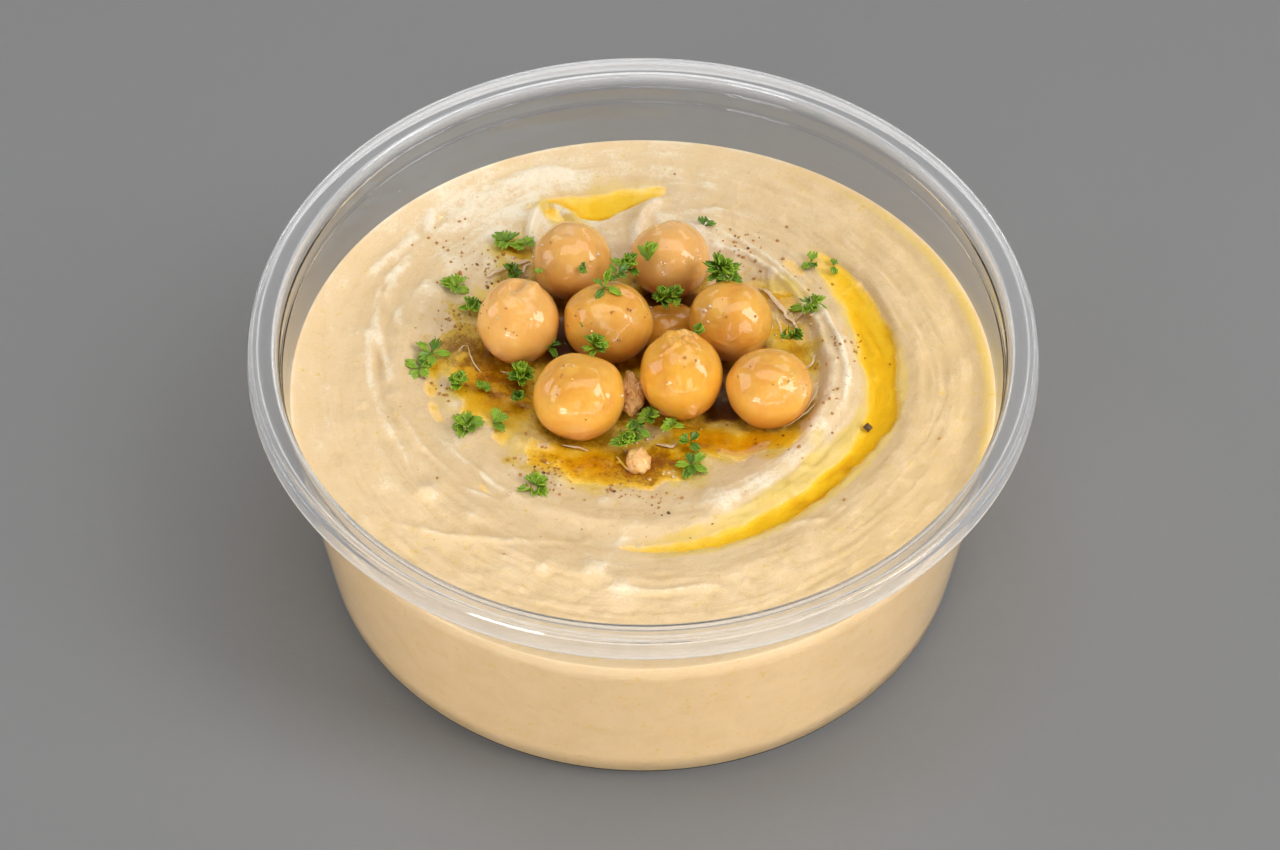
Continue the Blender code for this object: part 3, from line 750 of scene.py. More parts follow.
def hummus_finish(look):
    """Creamy hummus: paler ridges and warmer valleys, partly painted light and shade, fine grain, oily
    stains and painted shade between the chickpeas.
    """
    finish = Finish("hummus_finish")
    relief, soak, stain_and_shade = (finish.layer(n) for n in ("relief", "soak", "stain_and_shade"))
    cloud = finish.grain(5.0, 5.0, 0.6, warp=0.5)
    mottle = finish.grain(1.6, 4.0, 0.6)
    fine = finish.grain(0.45, 3.0, 0.6)
    sweep = finish.node("ShaderNodeCombineXYZ", {n: finish.layer(f"sweep_{n}") for n in "XYZ"})
    streak = finish.grain(1.3, 4.0, 0.6, sweep.outputs[0], warp=0.8)
    worked = finish.layer("worked")
    drawn = finish.sum("MULTIPLY", worked, finish.span(cloud, 0.35, 0.6, 0.35, 1.0))
    streak = finish.sum("MULTIPLY", finish.sum("SUBTRACT", streak, 0.5), drawn)
    tone = finish.sum("MULTIPLY", finish.sum("SUBTRACT", mottle, 0.5), 0.6)
    tone = finish.vary(tone, fine, 0.6)
    # The relief layer holds the tone, with painted light and shade from the relief and the lamps.
    tone = finish.sum("MULTIPLY_ADD", tone, finish.span(worked, 0.0, 1.0, 0.25, 1.0), relief)
    tone = finish.sum("MULTIPLY_ADD", streak, 0.25, tone)
    tone = finish.vary(tone, cloud, 0.75)
    shade = finish.blend(finish.span(tone, 0.0, 0.5), tuple(look.valley_and_shade), tuple(look.body))
    shade = finish.blend(finish.span(tone, 0.5, 1.0), shade, tuple(look.ridge_and_light))
    warm = finish.span(finish.sum("MULTIPLY_ADD", mottle, 0.35, soak), 0.3, 1.15)
    shade = finish.blend(warm, shade, tuple(look.oily))
    # The stain layer holds spice stains and painted shade round the chickpeas; its highest values paint the
    # nook shade.
    rough = finish.vary(stain_and_shade, mottle, 1.5)
    rough = finish.vary(rough, fine, 1.0)
    shade = finish.blend(finish.span(rough, 0.1, 0.6), shade, tuple(look.amber))
    shade = finish.blend(finish.span(rough, 0.5, 1.25), shade, tuple(look.stain_and_shade))
    shade = finish.blend(finish.span(stain_and_shade, 0.9, 1.9), shade, tuple(look.nook_shade))
    dust = finish.sum("MULTIPLY", finish.specks(3.1, 0.13), 0.65)
    shade = finish.blend(dust, shade, (0.33, 0.19, 0.07))
    finish.set(
        Base_Color=shade, Roughness=finish.span(soak, 0.0, 0.8, 0.5, 0.3),
        Subsurface_Weight=0.2, Subsurface_Radius=(1.0, 0.6, 0.28),
        Subsurface_Scale=1.1 * MM, IOR=1.42, Specular_IOR_Level=0.38,
        Normal=finish.relief(streak, 0.13, finish.relief(fine, 0.07, finish.relief(mottle, 0.12))),
        Coat_Weight=0.1, Coat_Roughness=0.25,
    )
    return finish.material


def chickpea_finish(look):
    """Boiled chickpea in oil: translucent flesh under a thin wet skin, with painted shade on its underside.
    """
    finish = Finish("chickpea_finish")
    cloud = finish.grain(4.0, 3.0, 0.5)
    mottle = finish.grain(1.0, 4.0, 0.6, warp=0.6)
    tone = finish.sum("MULTIPLY_ADD", mottle, 0.2, cloud)
    shade = finish.blend(finish.span(tone, 0.35, 0.85), tuple(look.dark), tuple(look.light))
    pale = finish.vary(finish.layer("pale"), mottle, 0.3)
    shade = finish.blend(finish.span(pale, 0.0, 1.3), shade, tuple(look.pale))
    # Painted shade: the low layer darkens the undersides towards the deep colour.
    low = finish.vary(finish.layer("low"), cloud, 0.6)
    shade = finish.blend(finish.span(low, 0.0, 1.0, 0.0, 0.85), shade, tuple(look.deep))
    dots = finish.sum("MULTIPLY", finish.specks(3.2, 0.15), 0.8)
    shade = finish.blend(dots, shade, (0.16, 0.06, 0.015))
    pores = finish.grain(0.35, 2.0)
    wet = finish.relief(mottle, 0.012)
    finish.set(
        Base_Color=shade, Roughness=0.4, IOR=1.45, Specular_IOR_Level=0.3,
        Subsurface_Weight=0.3, Subsurface_Radius=(1.0, 0.42, 0.12),
        Subsurface_Scale=1.5 * MM, Coat_Weight=1.0, Coat_Roughness=0.02, Coat_IOR=1.5,
        Normal=finish.relief(pores, 0.03, wet), Coat_Normal=wet,
    )
    return finish.material


def oil_finish(name, tint, density):
    """Olive oil: clear and smooth, deeper gold where it stands deeper."""
    finish = Finish(name)
    finish.set(
        Base_Color=(1.0, 0.985, 0.93), Roughness=0.02, Transmission_Weight=1.0, IOR=1.47,
        Normal=finish.relief(finish.grain(2.4, 2.0), 0.04),
    )
    depth = finish.node("ShaderNodeVolumeAbsorption", {"Color": tint, "Density": density})
    finish.tree.links.new(depth.outputs[0], finish.output.inputs["Volume"])
    finish.let_light_through((1.0, 0.99, 0.96))
    return finish.material


def parsley_finish(look):
    """Chopped parsley: veined leaf, lighter on some leaflets and painted lighter towards the tips."""
    finish = Finish("parsley_finish")
    # Random tone per leaflet, painted lighter towards the tips as highlight.
    tone = finish.sum("MULTIPLY_ADD", finish.grain(0.5, 3.0), 0.5, finish.layer("age"))
    shade = finish.blend(finish.span(tone, 0.1, 1.2), tuple(look.dark), tuple(look.light))
    finish.set(
        Base_Color=shade, Roughness=0.4, Specular_IOR_Level=0.3, Subsurface_Weight=0.15,
        Subsurface_Radius=(0.6, 1.0, 0.15), Subsurface_Scale=0.4 * MM,
        Coat_Weight=0.25, Coat_Roughness=0.12, Normal=finish.relief(finish.grain(0.3, 3.0), 0.05),
    )
    return finish.material


def skin_finish(shade, name="skin_finish"):
    """Wet translucent skin and crumbs of chickpea."""
    finish = Finish(name)
    grain = finish.grain(0.5, 3.0, 0.6)
    finish.set(
        Base_Color=finish.blend(grain, tuple(0.85 * c for c in shade), shade), Roughness=0.3,
        Subsurface_Weight=0.3, Subsurface_Radius=(1.0, 0.6, 0.4), Subsurface_Scale=0.6 * MM,
        Coat_Weight=0.8, Coat_Roughness=0.05, Normal=finish.relief(grain, 0.06),
    )
    return finish.material


def bead_finish():
    """Small beads of oil."""
    finish = Finish("bead_finish")
    finish.set(Base_Color=(1.0, 0.9, 0.6), Roughness=0.02, Transmission_Weight=1.0, IOR=1.47)
    finish.let_light_through((1.0, 0.97, 0.9))
    return finish.material


def fleck_finish(name, dark, light, size):
    """Dry spice: grains that vary in tone."""
    finish = Finish(name)
    grain = finish.grain(size, 3.0, 0.6)
    finish.set(
        Base_Color=finish.blend(finish.span(grain, 0.3, 0.7), dark, light),
        Roughness=0.55, Normal=finish.relief(grain, 0.08), Coat_Weight=0.3,
        Coat_Roughness=0.2,
    )
    return finish.material


def floor_finish(shade):
    """Plain matt floor."""
    finish = Finish("floor_finish")
    cloud = finish.grain(90.0, 2.0)
    pale = tuple(c * 1.015 for c in shade)
    deep = tuple(c * 0.985 for c in shade)
    finish.set(Base_Color=finish.blend(cloud, deep, pale), Roughness=0.85,
               Specular_IOR_Level=0.2, Normal=finish.relief(finish.grain(0.5, 2.0), 0.02))
    return finish.material


# ---------------------------------------------------------------- tub


def wall_radius(z):
    """Radius of the tub's inner face at height z, below its stacking ring."""
    return WALL_BASE_RADIUS + WALL_SLOPE * z


def tub_profile():
    """Radius and height along the tub's inner and upper face, floor to skirt."""
    flange_z = TUB_HEIGHT - FLANGE_DROP
    ring_radius = wall_radius(STACK_RING_Z)
    return [
        (0.0, FLOOR_TOP),
        (FLOOR_RADIUS, FLOOR_TOP),
        (FOOT_INNER_RADIUS, TUB_WALL),
        (FOOT_OUTER_RADIUS, TUB_WALL),
        (wall_radius(FLOOR_TOP), FLOOR_TOP),
        (ring_radius, STACK_RING_Z),
        (ring_radius + STACK_RING_STEP, STACK_RING_Z + STACK_RING_STEP),
        (LID_SEAT_RADIUS - LID_SEAT_STEP, LID_SEAT_Z - LID_SEAT_STEP),
        (LID_SEAT_RADIUS, LID_SEAT_Z),
        (FLANGE_INNER_RADIUS - 2 * FLANGE_DROP, flange_z - 3 * FLANGE_DROP),
        (FLANGE_INNER_RADIUS, flange_z - FLANGE_DISH),
        ((FLANGE_INNER_RADIUS + FLANGE_OUTER_RADIUS) / 2, flange_z - 0.6 * FLANGE_DISH),
        (FLANGE_OUTER_RADIUS, flange_z + 0.3 * FLANGE_DISH),
        (LIP_RADIUS, TUB_HEIGHT),
        ((LIP_RADIUS + SKIRT_TOP_RADIUS) / 2, TUB_HEIGHT - FLANGE_DROP / 2),
        (SKIRT_TOP_RADIUS, TUB_HEIGHT - SKIRT_TOP_DROP),
        (RIM_RADIUS, SKIRT_BOTTOM_Z),
    ]


def face_under(profile, thickness):
    """The same profile moved a thickness away, out and down from the upper face."""
    points = [Vector(p) for p in profile]
    sides = []
    for a, b in zip(points, points[1:]):
        run = (b - a).normalized()
        sides.append(Vector((run.y, -run.x)))
    moved = []
    for i, point in enumerate(points):
        before, after = sides[max(i - 1, 0)], sides[min(i, len(sides) - 1)]
        moved.append(point + (before + after) * thickness / (1.0 + before.dot(after)))
    moved[0].x = 0.0
    return moved


def rounded(points, radius, steps=CORNER_STEPS):
    """Round each corner of an open line of points."""
    points = [Vector(p) for p in points]
    line = [points[0]]
    for before, corner, after in zip(points, points[1:], points[2:]):
        start = corner + (before - corner).normalized() * min(radius, 0.45 * (before - corner).length)
        end = corner + (after - corner).normalized() * min(radius, 0.45 * (after - corner).length)
        for i in range(steps + 1):
            t = i / steps
            line.append(start.lerp(corner, t).lerp(corner.lerp(end, t), t))
    return line + [points[-1]]


def turned_mesh(line, steps):
    """Points and faces of a line of radius and height turned about Z."""
    points = [(0.0, 0.0, line[0].y)]
    for p in line[1:-1]:
        for i in range(steps):
            angle = math.tau * i / steps
            points.append((p.x * math.cos(angle), p.x * math.sin(angle), p.y))
    points.append((0.0, 0.0, line[-1].y))
    rings = len(line) - 2
    faces = [tuple(i + 1 for i in reversed(face)) for face in grid_faces(rings, steps, True)]
    last = len(points) - 1
    for i in range(steps):
        after = (i + 1) % steps
        faces.append((0, 1 + i, 1 + after))
        faces.append((last, last - steps + after, last - steps + i))
    return points, faces


def build_tub(look):
    """Turn the closed section of the tub's wall."""
    top = tub_profile()
    under = face_under(top, look.wall / MM)
    outline = [Vector(p) for p in top] + under[::-1]
    line = rounded(outline, look.corner / MM)
    points, faces = turned_mesh(line, TUB_STEPS)
    tub = add_piece("clear_tub", points, faces, clear_plastic_finish(tuple(look.tint)),
                    "clear_plastic", "tub")
    radius = np.hypot(*np.array(points)[:, :2].T)
    cloud_and_highlight = 0.6 * smooth(FLANGE_INNER_RADIUS - 0.5, FLANGE_INNER_RADIUS, radius)
    cloud_and_highlight += 0.4 * smooth(FLANGE_OUTER_RADIUS, LIP_RADIUS, radius)
    # Painted highlights: bright lines along the flange's edges and the rim.
    for line in (FLANGE_INNER_RADIUS, FLANGE_OUTER_RADIUS, RIM_RADIUS):
        cloud_and_highlight += 2.2 * bump(radius - line, 0.16)
    set_layer(tub, "cloud_and_highlight", look.cloud * cloud_and_highlight)
    even = tub.modifiers.new("Even", "WEIGHTED_NORMAL")
    even.weight = 80


# ---------------------------------------------------------------- hummus


def along_path(x, y, path):
    """Distance from each point to a path, and how far along it, from 0 to 1."""
    nearest, part = np.full(x.shape, 1e9), np.zeros(x.shape)
    lengths = [math.dist(a, b) for a, b in zip(path, path[1:])]
    done = 0.0
    for (ax, ay), (bx, by), span in zip(path, path[1:], lengths):
        t = np.clip(((x - ax) * (bx - ax) + (y - ay) * (by - ay)) / span**2, 0.0, 1.0)
        away = np.hypot(x - ax - t * (bx - ax), y - ay - t * (by - ay))
        closer = away < nearest
        nearest = np.where(closer, away, nearest)
        part = np.where(closer, (done + t * span) / sum(lengths), part)
        done += span
    return nearest, part


def groove_radius(direction):
    """Radius of the spoon's groove, which swings wide on the tub's right."""
    bulge = bump(swing(direction, GROOVE_BULGE_ANGLE), GROOVE_BULGE_SPREAD)
    return GROOVE_RADIUS + GROOVE_BULGE * bulge


def about_swirl(x, y):
    """Direction round the swirl and distance outside its groove."""
    across, along = x - SWIRL_CENTRE[0], y - SWIRL_CENTRE[1]
    direction = np.arctan2(along, across)
    return direction, np.hypot(across, along) - groove_radius(direction)


def trench(direction, outside, table, inner, outer):
    """Depth of a trench round the swirl, whose banks run inwards and outwards."""
    turns, low, high, deep = (np.array(column) for column in zip(*table))
    degrees = np.degrees(direction)
    low, high = np.interp(degrees, turns, low), np.interp(degrees, turns, high)
    inwards, outwards = np.maximum(low - outside, 0.0), np.maximum(outside - high, 0.0)
    return np.interp(degrees, turns, deep) * bump(inwards, inner) * bump(outwards, outer)


def combed(direction, outside, run, width, seed):
    """Crisp ridges drawn out round the swirl, from -1 to 1."""
    reach = GROOVE_RADIUS / run
    value = waver(np.cos(direction) * reach + seed, np.sin(direction) * reach - seed,
                  outside / width)
    return 1.0 - 3.2 * np.abs(value)


def wall_contact(direction):
    """Height at which the hummus meets the wall."""
    return DIP_WALL_Z + DIP_SIDE_CLIMB * np.cos(direction) ** 2


def dip_height(x, y, look):
    """Height of the hummus's top, and how much finer work raised it."""
    from_middle = np.hypot(x, y)
    bearing = np.arctan2(y, x)
    lip = bump(wall_radius(DIP_WALL_Z) - from_middle, DIP_LIP_WIDTH)
    free = 1.0 - lip
    height = DIP_LEVEL + lip * (wall_contact(bearing) - DIP_LEVEL)

    direction, outside = about_swirl(x, y)
    wander = 0.33 * waver(np.cos(direction) * 2.2, np.sin(direction) * 2.2, outside / 9.0)
    ragged = 0.45 * smooth(-0.6, 0.4, outside) * waver(x / 1.5, y / 1.5, 2.0)
    strokes = np.zeros(x.shape)
    for offset, rise, inner, outer, middle, reach in STROKES:
        fade = bump(swing(direction, math.radians(middle)), math.radians(reach))
        away = outside - offset + (wander + ragged if rise < 0 else 2.0 * wander)
        strokes += rise * fade * np.where(away < 0, bump(away, inner), bump(away, outer))
    strokes -= trench(direction, outside + ragged, GROOVE, 1.7, 0.55)
    strokes -= trench(direction, outside + 0.5 * wander, BACK_TRENCH, 0.6, 2.0)
    height += strokes * free

    from_hollow = np.hypot(x - HOLLOW_CENTRE[0], y - HOLLOW_CENTRE[1])
    in_hollow = np.exp(-((from_hollow / HOLLOW_RADIUS) ** 4))
    height -= HOLLOW_DEPTH * in_hollow

    lumps, comb = look.lumps / MM, look.comb / MM
    fine = lumps * 0.8 * waver(x / 7.0, y / 7.0, 3.0)
    fine += lumps * (0.45 + 0.4 * in_hollow) * waver(x / 3.0, y / 3.0, 9.0)
    fine += in_hollow * (0.26 * waver(x / 2.2, y / 2.2, 13.0) + 0.13 * waver(x / 1.0, y / 1.0, 15.0))
    outer_bank = smooth(-12.0, -3.0, outside)
    busy = smooth(-0.15, 0.45, waver(x / 9.0, y / 9.0, 21.0))
    fine += comb * 0.55 * outer_bank * busy * combed(direction, outside, 14.0, 2.4, 1.7)
    fine += comb * 0.45 * outer_bank * (1.2 - busy) * combed(direction, outside, 9.0, 1.2, 5.3)
    inner_bank = bump(outside + 5.0, 3.6) * bump(swing(direction, math.radians(-15)), 1.1)
    fine += comb * 0.8 * inner_bank * combed(direction, outside, 30.0, 1.1, 8.1)
    fine += 0.16 * waver(x / 4.2, y / 4.2, 17.0)
    torn = smooth(0.28, 0.62, waver(x / 2.3, y / 2.3, 31.0))
    torn *= smooth(-0.1, 0.45, waver(x / 9.0, y / 9.0, 41.0))
    fine += 0.4 * torn * (0.6 + 0.4 * waver(x / 0.9, y / 0.9, 4.0))
    fine += 0.055 * waver(x / 0.85, y / 0.85, 51.0) + 0.08 * waver(x / 1.8, y / 1.8, 61.0)
    for rise, half_width, path in FOLDS:
        away, part = along_path(x, y, path)
        ends = np.sqrt(np.clip(np.sin(math.pi * (0.06 + 0.88 * part)), 0.0, 1.0))
        rough = 1.0 + 0.3 * waver(x / 1.3, y / 1.3, 71.0)
        fine += 1.25 * rise * ends * rough * bump(away, half_width)
    for peak_x, peak_y, rise, half_width in PEAKS:
        rough = 1.0 + 0.25 * waver(x / 1.6, y / 1.6, 81.0)
        fine += rise * rough * bump(np.hypot(x - peak_x, y - peak_y), half_width)
    return height + fine * free, (fine - 0.14) * free


def across_pea(x, y, centre, size):
    """Distance from a chickpea's middle over its radius, seen from above."""
    return np.hypot((x - centre[0]) / (size[0] / 2), (y - centre[1]) / (size[1] / 2))


def press_seats(x, y, height):
    """Press a seat under each chickpea that stands on the hummus."""
    for name, (centre, size, _) in CHICKPEAS.items():
        across = across_pea(x, y, centre, size)
        under = centre[2] - size[2] / 2 * np.sqrt(np.clip(1.0 - across**2, 0.0, 1.0)) + 0.3
        if centre[2] > DIP_LEVEL:
            height = np.where(across < 1.0, np.minimum(height, under), height)
    return height


def disc_grid(count):
    """Points of a square grid wrapped evenly onto a disc of radius 1."""
    steps = np.linspace(-1.0, 1.0, count + 1)
    a, b = np.meshgrid(steps, steps)
    wide = np.abs(a) >= np.abs(b)
    with np.errstate(divide="ignore", invalid="ignore"):
        angle = np.where(wide, math.pi / 4 * b / a, math.pi / 2 - math.pi / 4 * a / b)
    angle = np.nan_to_num(angle)
    radius = np.where(wide, a, b)
    return radius * np.cos(angle), radius * np.sin(angle)


def oil_shade(x, y):
    """How much oil has soaked in at each point, and how much spice has stained it, with the painted shade
    round the chickpeas added in.
    """
    direction, outside = about_swirl(x, y)
    degrees = np.degrees(direction)
    patches = waver(x / 4.5, y / 4.5, 5.0) + 0.5 * waver(x / 1.8, y / 1.8, 6.0)
    fine = 0.6 * waver(x / 1.3, y / 1.3, 16.0) + 0.4 * waver(x / 0.6, y / 0.6, 17.0)
    reach = smooth(-102.0, -80.0, degrees) * smooth(56.0, 34.0, degrees)
    inner = np.interp(degrees, (-90, -71, -54, -38, -17, -5, 3, 12, 20, 40),
                      (-1.8, -3.3, -5.2, -5.4, -4.4, -4.4, -5.1, -4.8, -3.5, -2.0))
    band = smooth(inner - 0.5, inner + 0.9, outside + 0.5 * patches)
    band = band * smooth(3.4, 1.8, outside + 0.3 * patches) * reach * (0.8 + 0.2 * patches)
    back = trench(direction, outside + patches, BACK_TRENCH, 0.8, 3.4)
    bearing = np.arctan2(y, x)
    edge = np.hypot(x, y) - wall_radius(wall_contact(bearing)) + 1.0
    edge = bump(edge, 0.9) * (0.25 + 0.75 * bump(swing(bearing, 0.25), 0.75))
    drift_x, drift_y = x + 2.2 * waver(x / 3.6, y / 3.6, 1.0), y + 2.2 * waver(x / 3.6, y / 3.6, 7.0)
    pools, stain_and_shade = np.zeros(x.shape), np.zeros(x.shape)
    for pool_x, pool_y, wide, deep, stands in POOLS:
        across = np.hypot((drift_x - pool_x) / (wide + 2.0), (drift_y - pool_y) / (deep + 2.0))
        pools = np.maximum(pools, min(1.0, stands + 0.35) * smooth(1.3, 0.55, across))
    for stain_x, stain_y, half_width, amount in STAINS:
        stain_and_shade += amount * bump(np.hypot(drift_x - stain_x, drift_y - stain_y), half_width)
    dry = smooth(0.1, 0.55, waver(x / 3.2, y / 3.2, 19.0) + 0.5 * fine)
    pools = pools * (1.0 - 0.75 * dry)
    stain_and_shade = stain_and_shade * (1.0 - 0.8 * dry) + 0.35 * stain_and_shade * fine
    soak = np.maximum(np.maximum(0.95 * band, 0.7 * back), np.maximum(pools, 0.8 * edge))
    # The stain layer also carries the painted shade between and round the chickpeas.
    stain_and_shade = np.maximum(np.clip(stain_and_shade, 0.0, 1.1), painted_nook_shade(x, y))
    return np.clip(soak + 0.1 * fine * (soak > 0.05), 0.0, 1.0), np.clip(stain_and_shade, 0.0, 2.0)


def painted_nook_shade(x, y):
    """Painted shade where oil gathers: darkest between chickpeas, with a thin painted shadow ring round
    each.
    """
    near, ring = np.zeros(x.shape), np.zeros(x.shape)
    for centre, size, _ in CHICKPEAS.values():
        across = across_pea(x, y, centre, size)
        near += bump(np.maximum(across - 0.8, 0.0), 0.55)
        ring = np.maximum(ring, bump(np.maximum(across - 0.85, 0.0), 0.22))
    return 2.0 * smooth(1.05, 1.5, near) + 0.85 * ring


def build_hummus(look):
    """Fill the tub up to its level with a finely worked block of hummus."""
    unit_x, unit_y = disc_grid(DIP_GRID)
    bearing = np.arctan2(unit_y, unit_x)
    edge = wall_radius(wall_contact(bearing)) + WALL_BITE
    x, y = unit_x * edge, unit_y * edge
    height, relief = dip_height(x, y, look)
    height = press_seats(x, y, height)
    soak, stain_and_shade = oil_shade(x, y)

    side = DIP_GRID + 1
    numbers = np.arange(side * side).reshape(side, side)
    border = np.concatenate([numbers[0, :-1], numbers[:-1, -1], numbers[-1, :0:-1], numbers[:0:-1, 0]])
    points = np.stack([x.ravel(), y.ravel(), height.ravel()], axis=1)
    faces = grid_faces(side, side)

    rim = points[border]
    rim_bearing = np.arctan2(rim[:, 1], rim[:, 0])
    rings = [border.tolist()]
    floor_z = FLOOR_TOP - WALL_BITE
    rows = []
    for part in np.linspace(0.0, 1.0, SIDE_ROWS + 1)[1:]:
        z = rim[:, 2] + (FLOOR_TOP - rim[:, 2]) * part
        rows.append((wall_radius(z) + WALL_BITE, z))
    for radius, z in ((FLOOR_RADIUS + 0.2, FLOOR_TOP), (FLOOR_RADIUS - 0.2, floor_z)):
        rows.append((np.full(len(rim), radius), np.full(len(rim), z)))
    for radius, z in rows:
        start = len(points)
        ring = np.stack([radius * np.cos(rim_bearing), radius * np.sin(rim_bearing), z], axis=1)
        points = np.vstack([points, ring])
        rings.append(list(range(start, start + len(ring))))
    for upper, lower in zip(rings, rings[1:]):
        for i in range(len(upper)):
            after = (i + 1) % len(upper)
            faces.append((upper[i], lower[i], lower[after], upper[after]))
    points = np.vstack([points, [(0.0, 0.0, floor_z)]])
    middle = len(points) - 1
    for i in range(len(rings[-1])):
        faces.append((rings[-1][i], middle, rings[-1][(i + 1) % len(rings[-1])]))

    piece = add_piece("hummus_dip", points, faces, hummus_finish(look), "hummus", "hummus")
    spare = len(points) - side * side
    direction, outside = about_swirl(x, y)
    streaks = combed(direction, outside, 9.0, 1.3, 12.7) + combed(direction, outside, 6.0, 2.6, 3.3)
    # Painted light and shade: ridges and crests lighter and hollows darker by the relief, the back lighter,
    # the crest inside the ribbon on the right lighter, the right side darker, the back left lighter and a
    # painted highlight at the wall; streaks, lumps and torn bits vary at random.
    crest = relief - soften(relief, 8)
    torn = smooth(0.0, 0.5, waver(x / 2.6, y / 2.6, 91.0)) * bump(np.hypot(x + 4.0, y - 7.0), 30.0)
    tone = 0.46 + np.clip(0.25 * relief + 0.7 * crest, -0.16, 0.24) + 0.02 * streaks + 0.08 * y / 45.0
    tone += 0.5 * bump(outside + 6.5, 2.4) * bump(swing(direction, math.radians(-10)), 0.9)
    tone += 0.12 * waver(x / 8.0, y / 8.0, 77.0) + 0.22 * torn - 0.33 * smooth(12.0, 38.0, x)
    tone += 0.3 * bump(np.hypot(x + 22.0, y - 36.0), 13.0)
    tone += 0.15 * smooth(0.7, 0.3, edge - np.hypot(x, y))
    sweeps = {"sweep_X": np.cos(direction) * GROOVE_RADIUS / 8.0 * MM,
              "sweep_Y": np.sin(direction) * GROOVE_RADIUS / 8.0 * MM, "sweep_Z": outside * MM,
              "worked": smooth(0.2, 1.4, edge - np.hypot(x, y))}
    for name, values in sweeps.items():
        set_layer(piece, name, np.concatenate([values.ravel(), np.zeros(spare)]))
    # The relief layer carries this tone with its painted light and shade.
    set_layer(piece, "relief", np.concatenate([np.clip(tone, 0, 1).ravel(), np.full(spare, 0.35)]))
    set_layer(piece, "soak", np.concatenate([soak.ravel(), np.zeros(spare)]))
    set_layer(piece, "stain_and_shade", np.concatenate([stain_and_shade.ravel(), np.zeros(spare)]))


# ---------------------------------------------------------------- chickpeas


VIEW_PITCH = math.radians(49.2)
FACE_RIGHT = Vector((1.0, 0.0, 0.0))
FACE_UP = Vector((0.0, math.sin(VIEW_PITCH), math.cos(VIEW_PITCH)))
FACE_OUT = Vector((0.0, -math.cos(VIEW_PITCH), math.sin(VIEW_PITCH)))


def face_direction(right, up):
    """Unit vector to a spot on a ball's face, seen from the front and above."""
    return (FACE_RIGHT * right + FACE_UP * up
            + FACE_OUT * math.sqrt(max(0.0, 1.0 - right * right - up * up)))


def pea_swell(local):
    """Radius of a chickpea of radius 1; rows of unit vectors, the beak at +Z."""
    from_beak = np.arccos(np.clip(local[:, 2], -1.0, 1.0))
    swell = 1.0 + BEAK_HEIGHT * bump(from_beak, BEAK_SPREAD)
    back = np.maximum(0.0, local[:, 1]) * np.sin(from_beak)
    return swell - FURROW_DEPTH * back * bump(local[:, 0], FURROW_WIDTH)


def piece_swell(local):
    """Radius of a broken, wrinkled piece of radius 1; rows of unit vectors."""
    wave = np.sin(5 * local[:, 0] + 2) * np.cos(6 * local[:, 1] + 4 * local[:, 2])
    return 1.0 + 0.08 * wave


def ball(sides, rings):
    """Unit vectors and faces of a ball whose poles are at +Z and -Z."""
    rows = []
    for ring in range(1, rings):
        tilt = math.pi * ring / rings
        for i in range(sides):
            turn = math.tau * i / sides
            rows.append((math.sin(tilt) * math.cos(turn), math.sin(tilt) * math.sin(turn), math.cos(tilt)))
    faces = [tuple(i + 1 for i in face) for face in grid_faces(rings - 1, sides, True)]
    faces = [face[::-1] for face in faces]
    last = len(rows) + 1
    for i in range(sides):
        after = (i + 1) % sides
        faces.append((0, 1 + i, 1 + after))
        faces.append((last, last - sides + after, last - sides + i))
    return np.array([(0, 0, 1.0)] + rows + [(0, 0, -1.0)]), faces


def lumpy_ball(place, swell, sides, rings, lump, wrinkle, folds, ruffles, seed):
    """A swollen ball with lumps, folds and fine wrinkles, in millimetres."""
    centre, size, turn = place
    local, faces = ball(sides, rings)
    turned = np.array(Euler([math.radians(a) for a in turn]).to_matrix())
    world = local @ turned.T
    reach = swell(local)
    reach = reach + lump * waver(*(world * 1.1 + seed).T) + 0.5 * lump * waver(*(world * 2.4 - seed).T)
    for right, up, span, half_width, rise, angle in folds:
        middle = np.array(face_direction(right, up))
        run = np.array(FACE_RIGHT * math.cos(math.radians(angle)) + FACE_UP * math.sin(math.radians(angle)))
        run -= middle * run.dot(middle)
        run /= np.linalg.norm(run)
        side = np.cross(middle, run)
        front = world @ middle > 0
        bend = 0.25 * (world @ run) ** 2
        along, away = world @ run, world @ side - bend + 0.05 * waver(*(world * 5.0 + seed).T)
        reach = reach + rise * front * bump(away, half_width) * bump(along, span / 2)
    for right, up, half_width, rise in ruffles:
        away = np.linalg.norm(world - np.array(face_direction(right, up)), axis=1)
        rough = waver(*(world * 6.0 + seed).T) + 0.6 * waver(*(world * 13.0 - seed).T)
        reach = reach + rise * bump(away, half_width) * (0.3 + rough)
    creases = 1.0 - 2.5 * np.abs(waver(*(world * 3.6 + 3 * seed).T))
    patch = smooth(-0.1, 0.4, waver(*(world * 1.6 - 2 * seed).T))
    reach = reach + (wrinkle / (size[0] / 2)) * creases * (0.3 + patch)
    reach = reach + 0.4 * (wrinkle / (size[0] / 2)) * waver(*(world * 9.0 + seed).T)
    reach = reach + 0.25 * (wrinkle / (size[0] / 2)) * waver(*(world * 17.0).T)
    points = world * reach[:, None] * (np.array(size) / 2) + np.array(centre)
    return points, faces


